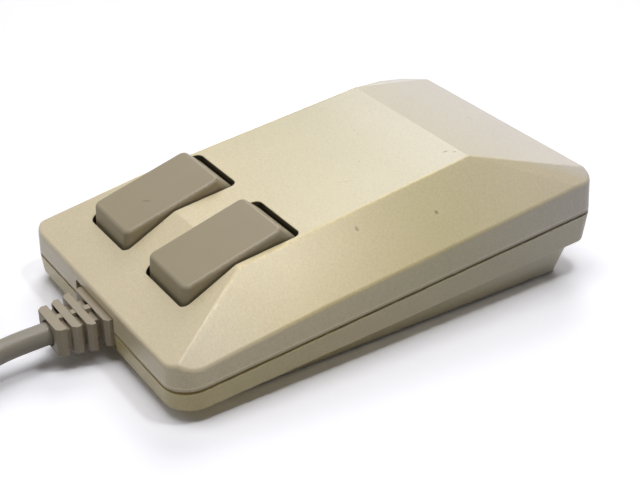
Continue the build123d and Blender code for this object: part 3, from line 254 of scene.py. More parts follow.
def startMaterial(name, sockets):
    material = bpy.data.materials.new(name)
    material.use_nodes = True
    tree = material.node_tree
    shader = tree.nodes["Principled BSDF"]
    for place, value in sockets.items():
        shader.inputs[place].default_value = value
    where = addNode(tree, "ShaderNodeTexCoord").outputs["Object"]
    return material, tree, shader, where


def tinted(tree, colour, factor, low, high):
    # colour times a grey that runs from low to high with factor
    span = {"Value": factor, "To Min": low, "To Max": high}
    grey = addNode(tree, "ShaderNodeMapRange", span).outputs["Result"]
    both = {0: 1.0, 6: colour, 7: grey}
    return addNode(tree, "ShaderNodeMix", both, data_type="RGBA", blend_type="MULTIPLY").outputs[2]


def perMetre(size):
    # pattern scale for a grain of this many millimetres
    return 1000 / size


def rampedAlong(tree, where, axis, span, stops, interpolation="LINEAR"):
    # hex colours set out along one axis of the part, over a span in metres
    along = addNode(tree, "ShaderNodeSeparateXYZ", {"Vector": where}).outputs[axis]
    share = addNode(tree, "ShaderNodeMapRange", {"Value": along, "From Min": span[0], "From Max": span[1]})
    colours = [(place, linear(text)) for place, text in stops]
    ramp = addNode(tree, "ShaderNodeValToRGB", {"Fac": share.outputs["Result"]}, colours)
    ramp.color_ramp.interpolation = interpolation
    return ramp.outputs["Color"]


def heightOver(tree, where, plane):
    # how far a point lies over a plane that rises towards the back: (rise per metre, level at the middle)
    rise, level = plane
    axes = addNode(tree, "ShaderNodeSeparateXYZ", {"Vector": where}).outputs
    flat = addNode(tree, "ShaderNodeMath", {0: axes["Y"], 1: -rise, 2: axes["Z"]}, operation="MULTIPLY_ADD")
    return addNode(tree, "ShaderNodeMath", {0: flat.outputs[0], 1: level}, operation="SUBTRACT").outputs[0]


def within(tree, value, low, high, soft):
    # 1 where value lies from low to high, fading over soft on both sides
    middle, reach = (low + high) / 2, (high - low) / 2
    centred = addNode(tree, "ShaderNodeMath", {0: value, 1: middle}, operation="SUBTRACT").outputs[0]
    away = addNode(tree, "ShaderNodeMath", {0: centred}, operation="ABSOLUTE").outputs[0]
    ends = {"Value": away, "From Min": reach + soft / 2, "From Max": reach - soft / 2}
    return addNode(tree, "ShaderNodeMapRange", ends).outputs["Result"]


shellFinish = {
    # yellowed most at the front; the paler, bluer stop at the rear is partly a painted reflection of the sky
    # on the rear slope, and the front stops are partly painted light on the front slope
    "colours": [(0.0, "#E2D3B2"), (0.3, "#E1D3AE"), (0.62, "#CFC5A3"), (1.0, "#D4CBC0")],
    "length": (-0.048, 0.048),
    "mottle": 14, "mottleDepth": 0.05,  # mm, cloudy ageing
    # mm, spark-eroded skin, drawn a little coarse so that it shows
    "grain": 0.46, "grainHeight": 0.022, "grainTone": 0.16,
    "roughness": (0.26, 0.36),
    "specks": 0.2, "speckEvery": 5.5, "speckShare": 0.16, "speckTone": 0.55,  # mm
    # painted shade on the narrow strip above the seam, and a painted highlight along its upper edge
    "lines": [
        {"plane": (0.0880, 0.010725), "from": 0.00010, "to": 0.00095, "soft": 0.0001, "tone": 0.78},
        {"plane": (0.0880, 0.010725), "from": 0.00102, "to": 0.00128, "soft": 0.00008, "tone": 1.16},
    ],
    "sides": {  # painted shade: the bevels drawn a little darker and yellower than the top, as light falls on them
        "rise": 0.6906, "normal": (0, -0.1133, 1), "level": 0.039664,
        "reach": 0.0004, "soft": 0.0003, "tint": "#FBF6E2",
    },
    # painted highlights along the crest and the grip hip, with the polish of handling in the roughness
    "wearAndHighlightEdges": [
        {"planes": [((0, -0.12873, 1), 0.025462), ((0.6906, -0.1133, 1), 0.039664)], "foldAt": 0.0,
         "reach": 0.00032, "runs": 1.4, "tone": 1.18, "polish": 0.6},
        {"planes": [((0, -0.5075, 1), 0.036238), ((0.6906, -0.1133, 1), 0.039664)], "foldAt": 0.0,
         "reach": 0.00065, "runs": 1.8, "tone": 1.20, "polish": 0.6},
    ],
    # painted shade, near black, on the walls of the keycap slots
    "slots": {
        "x": 0.01205, "halfWidth": 0.0084, "y": -0.02695, "halfLength": 0.0131, "soft": 0.0001,
        "frontPlane": (0.5075, 0.036238), "topPlane": (0.12873, 0.025462),
        "depth": (0.00005, 0.00025), "tone": 0.04,
    },
    "marks": [
        {"at": (0.0105, 0.0015), "size": (0.0024, 0.00012), "turn": 62, "tone": 0.86},
        {"at": (-0.0090, 0.0215), "size": (0.0022, 0.00010), "turn": -20, "tone": 0.88},
        {"at": (0.0155, 0.0228), "size": (0.0007, 0.00020), "turn": 75, "tone": 0.42},
        {"at": (0.0168, 0.0240), "size": (0.0004, 0.00018), "turn": 60, "tone": 0.5},
        {"at": (0.0010, 0.0405), "size": (0.0008, 0.00016), "turn": 40, "tone": 0.6},
        {"at": (0.0235, -0.0040), "size": (0.0005, 0.00040), "turn": 0, "tone": 0.6},
        {"at": (0.0265, 0.0125), "size": (0.0004, 0.00040), "turn": 0, "tone": 0.55},
    ],
    "sockets": {"IOR": 1.54, "Specular IOR Level": 0.5},
}
keelFinish = dict(
    shellFinish, slots=None, marks=[], sides=None, wearAndHighlightEdges=[],
    colours=[(0.0, "#D6C592"), (0.3, "#D3C498"), (0.62, "#CFC3A2"), (1.0, "#CBC2AE")],
    speckShare=0.08,
    # a painted highlight along the band's lower edge
    lines=[{"plane": (0.0636, 0.005475), "from": 0.0, "to": 0.00030, "soft": 0.0001, "tone": 1.12}])
buttonFinish = {
    "colours": [(0.0, "#9B8F73"), (0.5, "#9B8E73"), (1.0, "#9A8E75")],
    "length": (-0.042, -0.01),
    "mottle": 9, "mottleDepth": 0.04,
    "grain": 0.30, "grainHeight": 0.008, "grainTone": 0.05,
    "roughness": (0.36, 0.46),
    "specks": 0.12, "speckEvery": 6.0, "speckShare": 0.10, "speckTone": 0.7,
    "lines": [], "slots": None, "sides": None,
    # a painted highlight along each keycap's long top edge, with the polish of handling in the roughness
    "wearAndHighlightEdges": [
        {"planes": [((0, -0.286, 1), 0.030875), ((1, 0, 0), 0.0076)], "foldAt": 0.01205,
         "reach": 0.00042, "runs": 0.9, "tone": 1.55, "polish": 0.5},
    ],
    "marks": [{"at": (-0.0105, -0.0313), "size": (0.0011, 0.00022), "turn": 35, "tone": 0.66}],
    "sockets": {"IOR": 1.54, "Specular IOR Level": 0.5},
}


scuffEdge = {"ragged": 0.7, "ends": 1.6, "full": 1.2}  # mm, and the reach over which a scuff fades
wearAndHighlightRuns = {"core": 0.55, "gaps": (0.4, 0.58)}  # share of the reach, and the noise that breaks the edge up


def paintedSlotShade(tree, where, values):
    # 1 on the walls of the keycap slots, below the outer face: painted shade, where little light gets in
    axes = addNode(tree, "ShaderNodeSeparateXYZ", {"Vector": where}).outputs
    aside = addNode(tree, "ShaderNodeMath", {0: axes["X"]}, operation="ABSOLUTE").outputs[0]
    soft = values["soft"]
    across = within(
        tree, aside, values["x"] - values["halfWidth"], values["x"] + values["halfWidth"], soft)
    along = within(
        tree, axes["Y"], values["y"] - values["halfLength"], values["y"] + values["halfLength"], soft)
    overFront = heightOver(tree, where, values["frontPlane"])
    overTop = heightOver(tree, where, values["topPlane"])
    over = addNode(tree, "ShaderNodeMath", {0: overFront, 1: overTop}, operation="MAXIMUM").outputs[0]
    shallow, deep = values["depth"]
    below = addNode(tree, "ShaderNodeMapRange", {"Value": over, "From Min": -shallow, "From Max": -deep})
    inside = addNode(tree, "ShaderNodeMath", {0: across, 1: along}, operation="MULTIPLY").outputs[0]
    both = {0: inside, 1: below.outputs["Result"]}
    return addNode(tree, "ShaderNodeMath", both, operation="MULTIPLY").outputs[0]


def markShade(tree, where, mark):
    # 1 within one scuff, an uneven ellipse seen from above
    middle = {0: where, 1: (*mark["at"], 0)}
    centred = addNode(tree, "ShaderNodeVectorMath", middle, operation="SUBTRACT").outputs[0]
    turn = {"Vector": centred, "Angle": -math.radians(mark["turn"])}
    turned = addNode(tree, "ShaderNodeVectorRotate", turn, rotation_type="Z_AXIS").outputs[0]
    long, wide = mark["size"]
    stretch = {0: turned, 1: (1 / long, 1 / wide, 0)}
    scaled = addNode(tree, "ShaderNodeVectorMath", stretch, operation="MULTIPLY").outputs[0]
    reach = addNode(tree, "ShaderNodeVectorMath", {0: scaled}, operation="LENGTH").outputs["Value"]
    ragged = {"Vector": where, "Scale": perMetre(scuffEdge["ragged"])}
    uneven = addNode(tree, "ShaderNodeTexNoise", ragged).outputs["Fac"]
    edge = addNode(tree, "ShaderNodeMath", {0: reach, 1: uneven}, operation="ADD").outputs[0]
    fade = {"Value": edge, "From Min": scuffEdge["ends"], "From Max": scuffEdge["full"]}
    return addNode(tree, "ShaderNodeMapRange", fade).outputs["Result"]


def wearAndHighlightEdge(tree, where, values):
    # 1 along the edges where two faces meet, broken into short runs: there a painted highlight lightens the
    # colour, and the polish of handling lowers the roughness
    axes = addNode(tree, "ShaderNodeSeparateXYZ", {"Vector": where}).outputs
    side = addNode(tree, "ShaderNodeMath", {0: axes["X"]}, operation="ABSOLUTE").outputs[0]
    side = addNode(tree, "ShaderNodeMath", {0: side, 1: values["foldAt"]}, operation="SUBTRACT").outputs[0]
    side = addNode(tree, "ShaderNodeMath", {0: side}, operation="ABSOLUTE").outputs[0]
    folded = {"X": side, "Y": axes["Y"], "Z": axes["Z"]}
    folded = addNode(tree, "ShaderNodeCombineXYZ", folded).outputs[0]
    away = []
    for normal, level in values["planes"]:
        upright = addNode(tree, "ShaderNodeVectorMath", {0: folded, 1: normal}, operation="DOT_PRODUCT")
        height = {0: upright.outputs["Value"], 1: level}
        over = addNode(tree, "ShaderNodeMath", height, operation="SUBTRACT").outputs[0]
        away.append(addNode(tree, "ShaderNodeMath", {0: over}, operation="ABSOLUTE").outputs[0])
    far = addNode(tree, "ShaderNodeMath", {0: away[0], 1: away[1]}, operation="MAXIMUM").outputs[0]
    ends = {"Value": far, "From Min": values["reach"], "From Max": values["reach"] * wearAndHighlightRuns["core"]}
    near = addNode(tree, "ShaderNodeMapRange", ends).outputs["Result"]
    runs = {"Vector": where, "Scale": perMetre(values["runs"]), "Detail": 3.0}
    runs = addNode(tree, "ShaderNodeTexNoise", runs).outputs["Fac"]
    gap, whole = wearAndHighlightRuns["gaps"]
    broken = {"Value": runs, "From Min": gap, "From Max": whole}
    broken = addNode(tree, "ShaderNodeMapRange", broken).outputs["Result"]
    return addNode(tree, "ShaderNodeMath", {0: near, 1: broken}, operation="MULTIPLY").outputs[0]


def mouldedAbs(name, values):
    # aged, injection-moulded ABS: dull, evenly grained, a little cloudy, with a few dark specks
    material, tree, shader, where = startMaterial(name, values["sockets"])
    colour = rampedAlong(tree, where, "Y", values["length"], values["colours"])
    cloud = addNode(
        tree, "ShaderNodeTexNoise",
        {"Vector": where, "Scale": perMetre(values["mottle"]), "Detail": 4.0}).outputs["Fac"]
    depth = values["mottleDepth"]
    colour = tinted(tree, colour, cloud, 1 - depth, 1 + depth)
    cells = addNode(tree, "ShaderNodeTexVoronoi", {"Vector": where, "Scale": perMetre(values["speckEvery"])})
    reach = values["specks"] / values["speckEvery"]
    close = {0: cells.outputs["Distance"], 1: reach}
    near = addNode(tree, "ShaderNodeMath", close, operation="LESS_THAN").outputs[0]
    chance = addNode(tree, "ShaderNodeSeparateColor", {"Color": cells.outputs["Color"]}).outputs["Red"]
    few = {0: chance, 1: values["speckShare"]}
    chosen = addNode(tree, "ShaderNodeMath", few, operation="LESS_THAN").outputs[0]
    speck = addNode(tree, "ShaderNodeMath", {0: near, 1: chosen}, operation="MULTIPLY").outputs[0]
    colour = tinted(tree, colour, speck, 1.0, values["speckTone"])
    # painted shade on the bevels, darker and yellower than the top
    if values["sides"]:
        sides = values["sides"]
        axes = addNode(tree, "ShaderNodeVectorMath", {0: where}, operation="ABSOLUTE").outputs[0]
        side = addNode(tree, "ShaderNodeSeparateXYZ", {"Vector": axes}).outputs["X"]
        leaning = {0: where, 1: sides["normal"]}
        upright = addNode(tree, "ShaderNodeVectorMath", leaning, operation="DOT_PRODUCT")
        across = {0: side, 1: sides["rise"], 2: upright.outputs["Value"]}
        over = addNode(tree, "ShaderNodeMath", across, operation="MULTIPLY_ADD").outputs[0]
        level, reach = sides["level"], sides["reach"]
        on = within(tree, over, level - reach, level + reach, sides["soft"])
        both = {0: on, 6: colour, 7: linear(sides["tint"])}
        colour = addNode(tree, "ShaderNodeMix", both, data_type="RGBA", blend_type="MULTIPLY").outputs[2]
    # narrow bands of painted shade and painted highlight, level with a seam or an edge
    for line in values["lines"]:
        height = heightOver(tree, where, line["plane"])
        shade = within(tree, height, line["from"], line["to"], line["soft"])
        colour = tinted(tree, colour, shade, 1.0, line["tone"])
    for mark in values["marks"]:
        colour = tinted(tree, colour, markShade(tree, where, mark), 1.0, mark["tone"])
    # painted shade in the keycap slots
    if values["slots"]:
        colour = tinted(tree, colour, paintedSlotShade(tree, where, values["slots"]), 1.0, values["slots"]["tone"])
    skin = {"Vector": where, "Scale": perMetre(values["grain"]), "Detail": 3.0, "Roughness": 0.6}
    grain = addNode(tree, "ShaderNodeTexNoise", skin).outputs["Fac"]
    colour = tinted(tree, colour, grain, 1 - values["grainTone"], 1 + values["grainTone"])
    least, most = values["roughness"]
    span = {"Value": grain, "To Min": least, "To Max": most}
    rough = addNode(tree, "ShaderNodeMapRange", span).outputs["Result"]
    # painted highlights along the edges, and polish that lowers the roughness
    for edge in values["wearAndHighlightEdges"]:
        worn = wearAndHighlightEdge(tree, where, edge)
        colour = tinted(tree, colour, worn, 1.0, edge["tone"])
        span = {"Value": worn, "To Min": 1.0, "To Max": edge["polish"]}
        polish = addNode(tree, "ShaderNodeMapRange", span)
        both = {0: rough, 1: polish.outputs["Result"]}
        rough = addNode(tree, "ShaderNodeMath", both, operation="MULTIPLY").outputs[0]
    tree.links.new(colour, shader.inputs["Base Color"])
    tree.links.new(rough, shader.inputs["Roughness"])
    bump = addNode(
        tree, "ShaderNodeBump",
        {"Height": grain, "Strength": 1.0, "Distance": values["grainHeight"] * millimetre}).outputs["Normal"]
    tree.links.new(bump, shader.inputs["Normal"])
    return material


plainFinish = dict(
    buttonFinish, marks=[], sides=None, wearAndHighlightEdges=[], length=(-0.16, 0.05),
    mottle=6, mottleDepth=0.03, grain=0.35, grainHeight=0.006,
    specks=0.1, speckEvery=5.0, speckShare=0.06)
leadFinish = dict(
    plainFinish, colours=[(0.0, "#8E8678"), (1.0, "#8F887A")], mottle=5, mottleDepth=0.06,
    grain=0.5, grainHeight=0.012, roughness=(0.30, 0.42), speckEvery=3.0, speckShare=0.15)
reliefFinish = dict(
    plainFinish, colours=[(0.0, "#9A8D78"), (1.0, "#9C907A")], mottle=5, mottleDepth=0.05,
    grain=0.35, grainHeight=0.010, roughness=(0.40, 0.5), speckEvery=3.5, speckShare=0.12)
hoodFinish = dict(
    plainFinish, colours=[(0.0, "#C9BFA6"), (1.0, "#CDC3A9")], grain=0.3, roughness=(0.42, 0.52))
darkFinish = dict(
    plainFinish, colours=[(0.0, "#26262A"), (1.0, "#26262A")], roughness=(0.38, 0.5), speckTone=1.4)
whiteFinish = dict(
    plainFinish, colours=[(0.0, "#E2DFD4"), (1.0, "#E2DFD4")], roughness=(0.34, 0.44))
glideFinish = dict(
    plainFinish, colours=[(0.0, "#D9D7D0"), (1.0, "#D9D7D0")], grain=0.6, roughness=(0.28, 0.4))
rubberFinish = dict(
    plainFinish, colours=[(0.0, "#4A4B4D"), (1.0, "#4A4B4D")], mottle=4, mottleDepth=0.08, grain=0.25,
    grainHeight=0.01, roughness=(0.62, 0.78), speckTone=1.5, speckShare=0.2, speckEvery=2.5)

finishes = {
    "shell_abs": mouldedAbs("agedBeigeAbs", shellFinish),
    "keel_abs": mouldedAbs("agedKeelAbs", keelFinish),
    "button_abs": mouldedAbs("taupeButtonAbs", buttonFinish),
    "pvc": mouldedAbs("warmGreyPvc", leadFinish),
    "relief_pvc": mouldedAbs("greigePvc", reliefFinish),
    "hood_abs": mouldedAbs("paleHoodAbs", hoodFinish),
    "dark_abs": mouldedAbs("darkMouldedAbs", darkFinish),
    "white_abs": mouldedAbs("naturalMouldedAbs", whiteFinish),
    "ptfe": mouldedAbs("waxyGlidePtfe", glideFinish),
    "ball_rubber": mouldedAbs("greyBallRubber", rubberFinish),
}


metals = {
    "steel": {
        "name": "platedSteel", "colours": ("#B9BBBD", "#A6A8AA"),
        "marks": 0.15, "roughness": (0.22, 0.36),
    },
    "ball_steel": {
        "name": "groundBallSteel", "colours": ("#A9ABAD", "#9A9C9E"),
        "marks": 0.1, "roughness": (0.18, 0.3),
    },
    "brass": {
        "name": "goldFlashedBrass", "colours": ("#D9B86A", "#C9A65A"),
        "marks": 0.12, "roughness": (0.2, 0.34),
    },
    "tin": {
        "name": "dippedTin", "colours": ("#C3C4C2", "#AFB0AE"),
        "marks": 0.3, "roughness": (0.3, 0.5),
    },
}


metalMarks = {"stretch": 6, "coarse": 4, "tones": (0.3, 0.7), "height": 0.004}  # height in mm


def machinedMetal(values):
    # turned or drawn wire and sheet: a clear sheen broken by fine marks across the work
    material, tree, shader, where = startMaterial(values["name"], {"Metallic": 1.0})
    work = {"Vector": where, "Scale": (1, 1, metalMarks["stretch"])}
    stretched = addNode(tree, "ShaderNodeMapping", work).outputs[0]
    size = values["marks"] * metalMarks["coarse"]
    scratches = {"Vector": stretched, "Scale": perMetre(size), "Detail": 4.0}
    marks = addNode(tree, "ShaderNodeTexNoise", scratches).outputs["Fac"]
    dark, bright = metalMarks["tones"]
    stops = [(dark, linear(values["colours"][1])), (bright, linear(values["colours"][0]))]
    colour = addNode(tree, "ShaderNodeValToRGB", {"Fac": marks}, stops).outputs["Color"]
    tree.links.new(colour, shader.inputs["Base Color"])
    least, most = values["roughness"]
    span = {"Value": marks, "To Min": least, "To Max": most}
    rough = addNode(tree, "ShaderNodeMapRange", span).outputs["Result"]
    tree.links.new(rough, shader.inputs["Roughness"])
    relief = {"Height": marks, "Distance": metalMarks["height"] * millimetre}
    bump = addNode(tree, "ShaderNodeBump", relief).outputs["Normal"]
    tree.links.new(bump, shader.inputs["Normal"])
    return material


for slotName, values in metals.items():
    finishes[slotName] = machinedMetal(values)


board = {
    "mask": "#2F5B3A", "track": "#4B7D4C", "pitch": 2.54, "trackShare": 0.62,
    "trackEdge": 0.06, "trackHeight": 0.03,  # share of the pitch, and mm
    "wander": 9, "wanderBy": 0.006,  # mm between bends, and metres aside
    "wavesPerScale": 3.18,  # how many stripes the wave texture draws in one unit of its scale
    "sockets": {"Roughness": 0.32, "IOR": 1.5},
}


def solderMaskedBoard(values):
    # green solder mask over etched tracks: glossy, with the tracks paler and a little raised
    material, tree, shader, where = startMaterial("solderMaskedBoard", values["sockets"])
    bent = addNode(tree, "ShaderNodeTexNoise", {"Vector": where, "Scale": perMetre(values["wander"])})
    aside = {0: bent.outputs["Color"], "Scale": values["wanderBy"]}
    small = addNode(tree, "ShaderNodeVectorMath", aside, operation="SCALE").outputs[0]
    moved = addNode(tree, "ShaderNodeVectorMath", {0: where, 1: small}, operation="ADD").outputs[0]
    waves = {"Vector": moved, "Scale": perMetre(values["pitch"]) / values["wavesPerScale"]}
    stripes = addNode(tree, "ShaderNodeTexWave", waves).outputs["Fac"]
    start = values["trackShare"]
    rise = {"Value": stripes, "From Min": start, "From Max": start + values["trackEdge"]}
    track = addNode(tree, "ShaderNodeMapRange", rise).outputs["Result"]
    both = {0: track, 6: linear(values["mask"]), 7: linear(values["track"])}
    colour = addNode(tree, "ShaderNodeMix", both, data_type="RGBA").outputs[2]
    tree.links.new(colour, shader.inputs["Base Color"])
    relief = {"Height": track, "Distance": values["trackHeight"] * millimetre}
    bump = addNode(tree, "ShaderNodeBump", relief).outputs["Normal"]
    tree.links.new(bump, shader.inputs["Normal"])
    return material


finishes["board"] = solderMaskedBoard(board)


smallPart = {"rim": 0.00005, "height": 0.01}  # metres, and the bump's mm, for the parts on the board
tinned = "#B9BAB8"
leadedParts = {
    "resistors": {
        "name": "bandedResistors", "axis": "X", "body": (-0.0232, -0.0178),
        "bands": [
            (0.0, "#C9AE82"), (0.14, "#7A4A2A"), (0.24, "#C9AE82"), (0.36, "#2A2A2A"), (0.46, "#C9AE82"),
            (0.58, "#B5532E"), (0.68, "#C9AE82"), (0.82, "#B08A3C"), (0.92, "#C9AE82"),
        ],
        "sockets": {"Roughness": 0.38, "IOR": 1.5},
    },
    "x_led": {
        "name": "clearLedEpoxy", "axis": "Z", "body": (0.0062, 0.0200),
        "bands": [(0.0, "#E9EEF2"), (1.0, "#E9EEF2")],
        "sockets": {"Roughness": 0.08, "IOR": 1.53, "Transmission Weight": 0.85},
    },
    "x_phototransistor": {
        "name": "smokedSensorEpoxy", "axis": "Z", "body": (0.0062, 0.0200),
        "bands": [(0.0, "#241C22"), (1.0, "#241C22")],
        "sockets": {"Roughness": 0.1, "IOR": 1.53, "Transmission Weight": 0.5},
    },
}


leadedCloud = {"grain": 0.8, "tones": (0.9, 1.08)}  # grain in mm


def leadedPart(values):
    # a component body, with its bare tinned wires beyond the span of the body
    material, tree, shader, where = startMaterial(values["name"], values["sockets"])
    colour = rampedAlong(tree, where, values["axis"], values["body"], values["bands"], "CONSTANT")
    along = addNode(tree, "ShaderNodeSeparateXYZ", {"Vector": where}).outputs[values["axis"]]
    body = within(tree, along, *values["body"], smallPart["rim"])
    cloud = {"Vector": where, "Scale": perMetre(leadedCloud["grain"]), "Detail": 3.0}
    worn = addNode(tree, "ShaderNodeTexNoise", cloud).outputs["Fac"]
    colour = tinted(tree, colour, worn, *leadedCloud["tones"])
    both = {0: body, 6: linear(tinned), 7: colour}
    mixed = addNode(tree, "ShaderNodeMix", both, data_type="RGBA").outputs[2]
    tree.links.new(mixed, shader.inputs["Base Color"])
    bare = addNode(tree, "ShaderNodeMath", {0: 1.0, 1: body}, operation="SUBTRACT").outputs[0]
    tree.links.new(bare, shader.inputs["Metallic"])
    relief = {"Height": worn, "Distance": smallPart["height"] * millimetre}
    bump = addNode(tree, "ShaderNodeBump", relief).outputs["Normal"]
    tree.links.new(bump, shader.inputs["Normal"])
    return material


finishes["ceramic"] = leadedPart(leadedParts["resistors"])
finishes["clear"] = leadedPart(leadedParts["x_led"])
finishes["smoke"] = leadedPart(leadedParts["x_phototransistor"])


sleeve = {
    "colour": "#2B3B5E", "stripe": "#B9C0CC", "can": "#C0C2C3", "stripeFrom": 0.0016,
    "cloud": 1.5, "tones": (0.93, 1.06),  # cloud in mm
    "sockets": {"Roughness": 0.34, "IOR": 1.5},
}


def shrunkSleeve(values):
    # blue shrink sleeve over the capacitor's can: smooth, with a pale stripe down one side and the bare top
    material, tree, shader, where = startMaterial("shrunkPvcSleeve", values["sockets"])
    low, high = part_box("capacitor")
    axes = addNode(tree, "ShaderNodeSeparateXYZ", {"Vector": where}).outputs
    middle = (low[0] + high[0]) / 2
    beyond = {0: axes["X"], 1: middle + values["stripeFrom"]}
    stripe = addNode(tree, "ShaderNodeMath", beyond, operation="GREATER_THAN").outputs[0]
    both = {0: stripe, 6: linear(values["colour"]), 7: linear(values["stripe"])}
    colour = addNode(tree, "ShaderNodeMix", both, data_type="RGBA").outputs[2]
    over = {0: axes["Z"], 1: high[2] - smallPart["rim"]}
    bare = addNode(tree, "ShaderNodeMath", over, operation="GREATER_THAN").outputs[0]
    both = {0: bare, 6: colour, 7: linear(values["can"])}
    colour = addNode(tree, "ShaderNodeMix", both, data_type="RGBA").outputs[2]
    noise = {"Vector": where, "Scale": perMetre(values["cloud"]), "Detail": 3.0}
    cloud = addNode(tree, "ShaderNodeTexNoise", noise).outputs["Fac"]
    tree.links.new(tinted(tree, colour, cloud, *values["tones"]), shader.inputs["Base Color"])
    tree.links.new(bare, shader.inputs["Metallic"])
    relief = {"Height": cloud, "Distance": smallPart["height"] * millimetre}
    bump = addNode(tree, "ShaderNodeBump", relief).outputs["Normal"]
    tree.links.new(bump, shader.inputs["Normal"])
    return material


finishes["sleeve"] = shrunkSleeve(sleeve)


wires = {
    "spacing": (0.0010, 0.0020),  # where they leave the lead, and at the housing
    "cloud": 1.0, "tones": (0.92, 1.08),  # cloud in mm
    "colours": ["#6B4A32", "#B23A32", "#C9752E", "#C8B23A", "#3E7A44", "#3A5E9C", "#8A8A8C"],
    "sockets": {"Roughness": 0.4, "IOR": 1.5},
}


def colouredWires(values):
    # seven thin insulated wires, one colour each, told apart by how far they lie from the middle
    material, tree, shader, where = startMaterial("colouredHookUpWire", values["sockets"])
    low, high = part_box("cable_wires")
    axes = addNode(tree, "ShaderNodeSeparateXYZ", {"Vector": where}).outputs
    near, far = values["spacing"]
    span = {"Value": axes["Y"], "From Min": low[1], "From Max": high[1], "To Min": near, "To Max": far}
    spread = addNode(tree, "ShaderNodeMapRange", span).outputs["Result"]
    order = addNode(tree, "ShaderNodeMath", {0: axes["X"], 1: spread}, operation="DIVIDE").outputs[0]
    count = len(values["colours"])
    span = {"Value": order, "From Min": -count / 2, "From Max": count / 2}
    share = addNode(tree, "ShaderNodeMapRange", span).outputs["Result"]
    stops = [(i / count, linear(text)) for i, text in enumerate(values["colours"])]
    ramp = addNode(tree, "ShaderNodeValToRGB", {"Fac": share}, stops)
    ramp.color_ramp.interpolation = "CONSTANT"
    noise = {"Vector": where, "Scale": perMetre(values["cloud"]), "Detail": 3.0}
    cloud = addNode(tree, "ShaderNodeTexNoise", noise).outputs["Fac"]
    colour = tinted(tree, ramp.outputs["Color"], cloud, *values["tones"])
    tree.links.new(colour, shader.inputs["Base Color"])
    relief = {"Height": cloud, "Distance": smallPart["height"] * millimetre}
    bump = addNode(tree, "ShaderNodeBump", relief).outputs["Normal"]
    tree.links.new(bump, shader.inputs["Normal"])
    return material


finishes["wire"] = colouredWires(wires)
leadPiece.data.materials.append(finishes["pvc"])
tiePiece.data.materials.append(finishes["white_abs"])
print(len(finishes), "finishes made")


# ---- the CAD pieces keep their shape and take their finish
for entry in frame["record"]["subparts"]:
    node = frame["nodes"][entry["node"]]
    for slot in node.material_slots:
        slot.material = finishes[entry["material_slot"]]
print("finishes given to", len(frame["nodes"]), "pieces")


# ---- moulded pieces, with their sharp edges eased
easedPieces = [
    {"node": "top_shell", "name": "topShell", "body": "casing",
     "slot": "shell_abs", "ease": 0.14},
    {"node": "bottom_shell", "name": "bottomShell", "body": "casing",
     "slot": "keel_abs", "ease": 0.14},
    {"node": "left_button", "name": "leftKeycap", "body": "left_button",
     "slot": "button_abs", "ease": 0.12},
    {"node": "right_button", "name": "rightKeycap", "body": "right_button",
     "slot": "button_abs", "ease": 0.12},
    {"node": "strain_relief", "name": "strainRelief", "body": "casing",
     "slot": "relief_pvc", "ease": 0.12},
    {"node": "ball_retainer", "name": "ballRetainer", "body": "retainer",
     "slot": "keel_abs", "ease": 0.1},
]


mould = {"weld": 1e-6, "flat": math.radians(0.4), "segments": 2}


def easedCopy(values):
    # the CAD piece again, its flat triangles merged and its sharp edges rounded as a mould leaves them
    # known fault: bevelled after the merge, the shell's pierced inner faces fold over the keycap slots
    bpy.ops.object.select_all(action="DESELECT")
    mesh = frame["nodes"][values["node"]].data.copy()
    piece = bpy.data.objects.new(values["name"], mesh)
    scene.collection.objects.link(piece)
    bpy.context.view_layer.objects.active = piece
    piece.select_set(True)
    bpy.ops.mesh.customdata_custom_splitnormals_clear()
    bpy.ops.object.mode_set(mode="EDIT")
    bpy.ops.mesh.select_all(action="SELECT")
    bpy.ops.mesh.remove_doubles(threshold=mould["weld"])
    bpy.ops.mesh.dissolve_limited(angle_limit=mould["flat"])
    bpy.ops.object.mode_set(mode="OBJECT")
    edge = piece.modifiers.new("easedEdges", "BEVEL")
    edge.width = values["ease"] * millimetre
    edge.segments = mould["segments"]
    edge.limit_method = "ANGLE"
    edge.angle_limit = sharpTurn
    edge.use_clamp_overlap = False
    edge.miter_outer = "MITER_ARC"
    bpy.ops.object.modifier_apply(modifier=edge.name)
    bpy.ops.object.shade_smooth_by_angle(angle=sharpTurn)
    even = piece.modifiers.new("evenShading", "WEIGHTED_NORMAL")
    even.keep_sharp = True
    bpy.ops.object.modifier_apply(modifier=even.name)
    mesh.materials.clear()
    mesh.materials.append(finishes[values["slot"]])
    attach(piece, values["body"])
    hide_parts(values["node"])
    return piece


for values in easedPieces:
    made = easedCopy(values)
    print(made.name, len(made.data.polygons), "faces")


# ---- floor, world and soft studio light
studio = {
    "floorSize": 4.0,
    "floorDrop": 0.00002,  # so that the feet don't lie in the same plane
    "floorPale": "#CECED3",  # laid twice, so that it comes out white where nothing shades it
    "floorBounce": 0.5,
    "floorFade": (0.3, 0.6),  # from the middle, over which the floor turns plain white
    "sky": 0.07,
    "lamps": [
        {"name": "overheadLamp", "towards": (-0.04, -0.10, 0.99),
         "distance": 0.9, "size": 0.45, "watts": 3.2},
        {"name": "windowLamp", "towards": (-0.5, 0.45, 0.7),
         "distance": 1.2, "size": 0.6, "watts": 4.4},
        {"name": "frontLamp", "towards": (-0.35, -0.65, 0.66),
         "distance": 1.2, "size": 0.8, "watts": 1.2},
        {"name": "sideLamp", "towards": (0.8, -0.45, 0.25),
         "distance": 1.2, "size": 0.8, "watts": 0.3},
        {"name": "glintLamp", "towards": (0.281, 0.141, 0.949),
         "distance": 0.314, "size": 0.04, "watts": 0.18},
    ],
}


def seenRay(tree):
    # 1 for the rays that show the white background: camera, mirror and glass rays
    path = addNode(tree, "ShaderNodeLightPath").outputs
    both = {0: path["Is Camera Ray"], 1: path["Is Glossy Ray"]}
    first = addNode(tree, "ShaderNodeMath", both, operation="MAXIMUM").outputs[0]
    both = {0: first, 1: path["Is Transmission Ray"]}
    return addNode(tree, "ShaderNodeMath", both, operation="MAXIMUM").outputs[0]


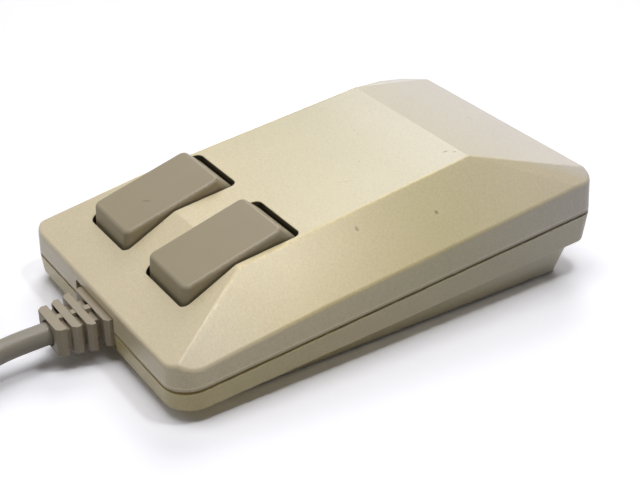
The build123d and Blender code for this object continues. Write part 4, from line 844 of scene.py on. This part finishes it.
def makeFloor(values):
    bpy.ops.object.select_all(action="DESELECT")
    bpy.ops.mesh.primitive_plane_add(size=values["floorSize"], location=(0, 0, -values["floorDrop"]))
    floor = bpy.context.object
    floor.name = "paleFloor"
    bpy.ops.object.transform_apply(location=True)
    material, tree, shader, where = startMaterial("paleStudioFloor", {})
    tree.nodes.remove(shader)
    out = tree.nodes["Material Output"]
    bounce = values["floorBounce"]
    plain = addNode(tree, "ShaderNodeBsdfDiffuse", {"Color": (bounce, bounce, bounce, 1)}).outputs[0]
    pale = addNode(tree, "ShaderNodeBsdfDiffuse", {"Color": linear(values["floorPale"])}).outputs[0]
    shown = addNode(tree, "ShaderNodeAddShader", {0: pale, 1: pale}).outputs[0]
    white = addNode(tree, "ShaderNodeEmission", {"Color": (1, 1, 1, 1)}).outputs[0]
    away = addNode(tree, "ShaderNodeVectorMath", {0: where}, operation="LENGTH").outputs["Value"]
    near, far = values["floorFade"]
    fade = {"Value": away, "From Min": near, "From Max": far}
    fade = addNode(tree, "ShaderNodeMapRange", fade).outputs["Result"]
    shown = addNode(tree, "ShaderNodeMixShader", {0: fade, 1: shown, 2: white}).outputs[0]
    mixed = addNode(tree, "ShaderNodeMixShader", {0: seenRay(tree), 1: plain, 2: shown}).outputs[0]
    tree.links.new(mixed, out.inputs["Surface"])
    floor.data.materials.append(material)


def makeWorld(values):
    world = bpy.data.worlds.new("whiteStudio")
    scene.world = world
    world.use_nodes = True
    tree = world.node_tree
    background = tree.nodes["Background"]
    background.inputs["Color"].default_value = (1, 1, 1, 1)
    span = {"Value": seenRay(tree), "To Min": values["sky"], "To Max": 1.0}
    strength = addNode(tree, "ShaderNodeMapRange", span).outputs["Result"]
    tree.links.new(strength, background.inputs["Strength"])


def makeLamps(values):
    for lamp in values["lamps"]:
        data = bpy.data.lights.new(lamp["name"], "AREA")
        data.size = lamp["size"]
        data.energy = lamp["watts"]
        holder = bpy.data.objects.new(lamp["name"], data)
        scene.collection.objects.link(holder)
        towards = Vector(lamp["towards"]).normalized()
        holder.location = towards * lamp["distance"]
        holder.rotation_euler = towards.to_track_quat("Z", "Y").to_euler()


makeFloor(studio)
makeWorld(studio)
makeLamps(studio)
print("studio made")

bpy.context.view_layer.update()
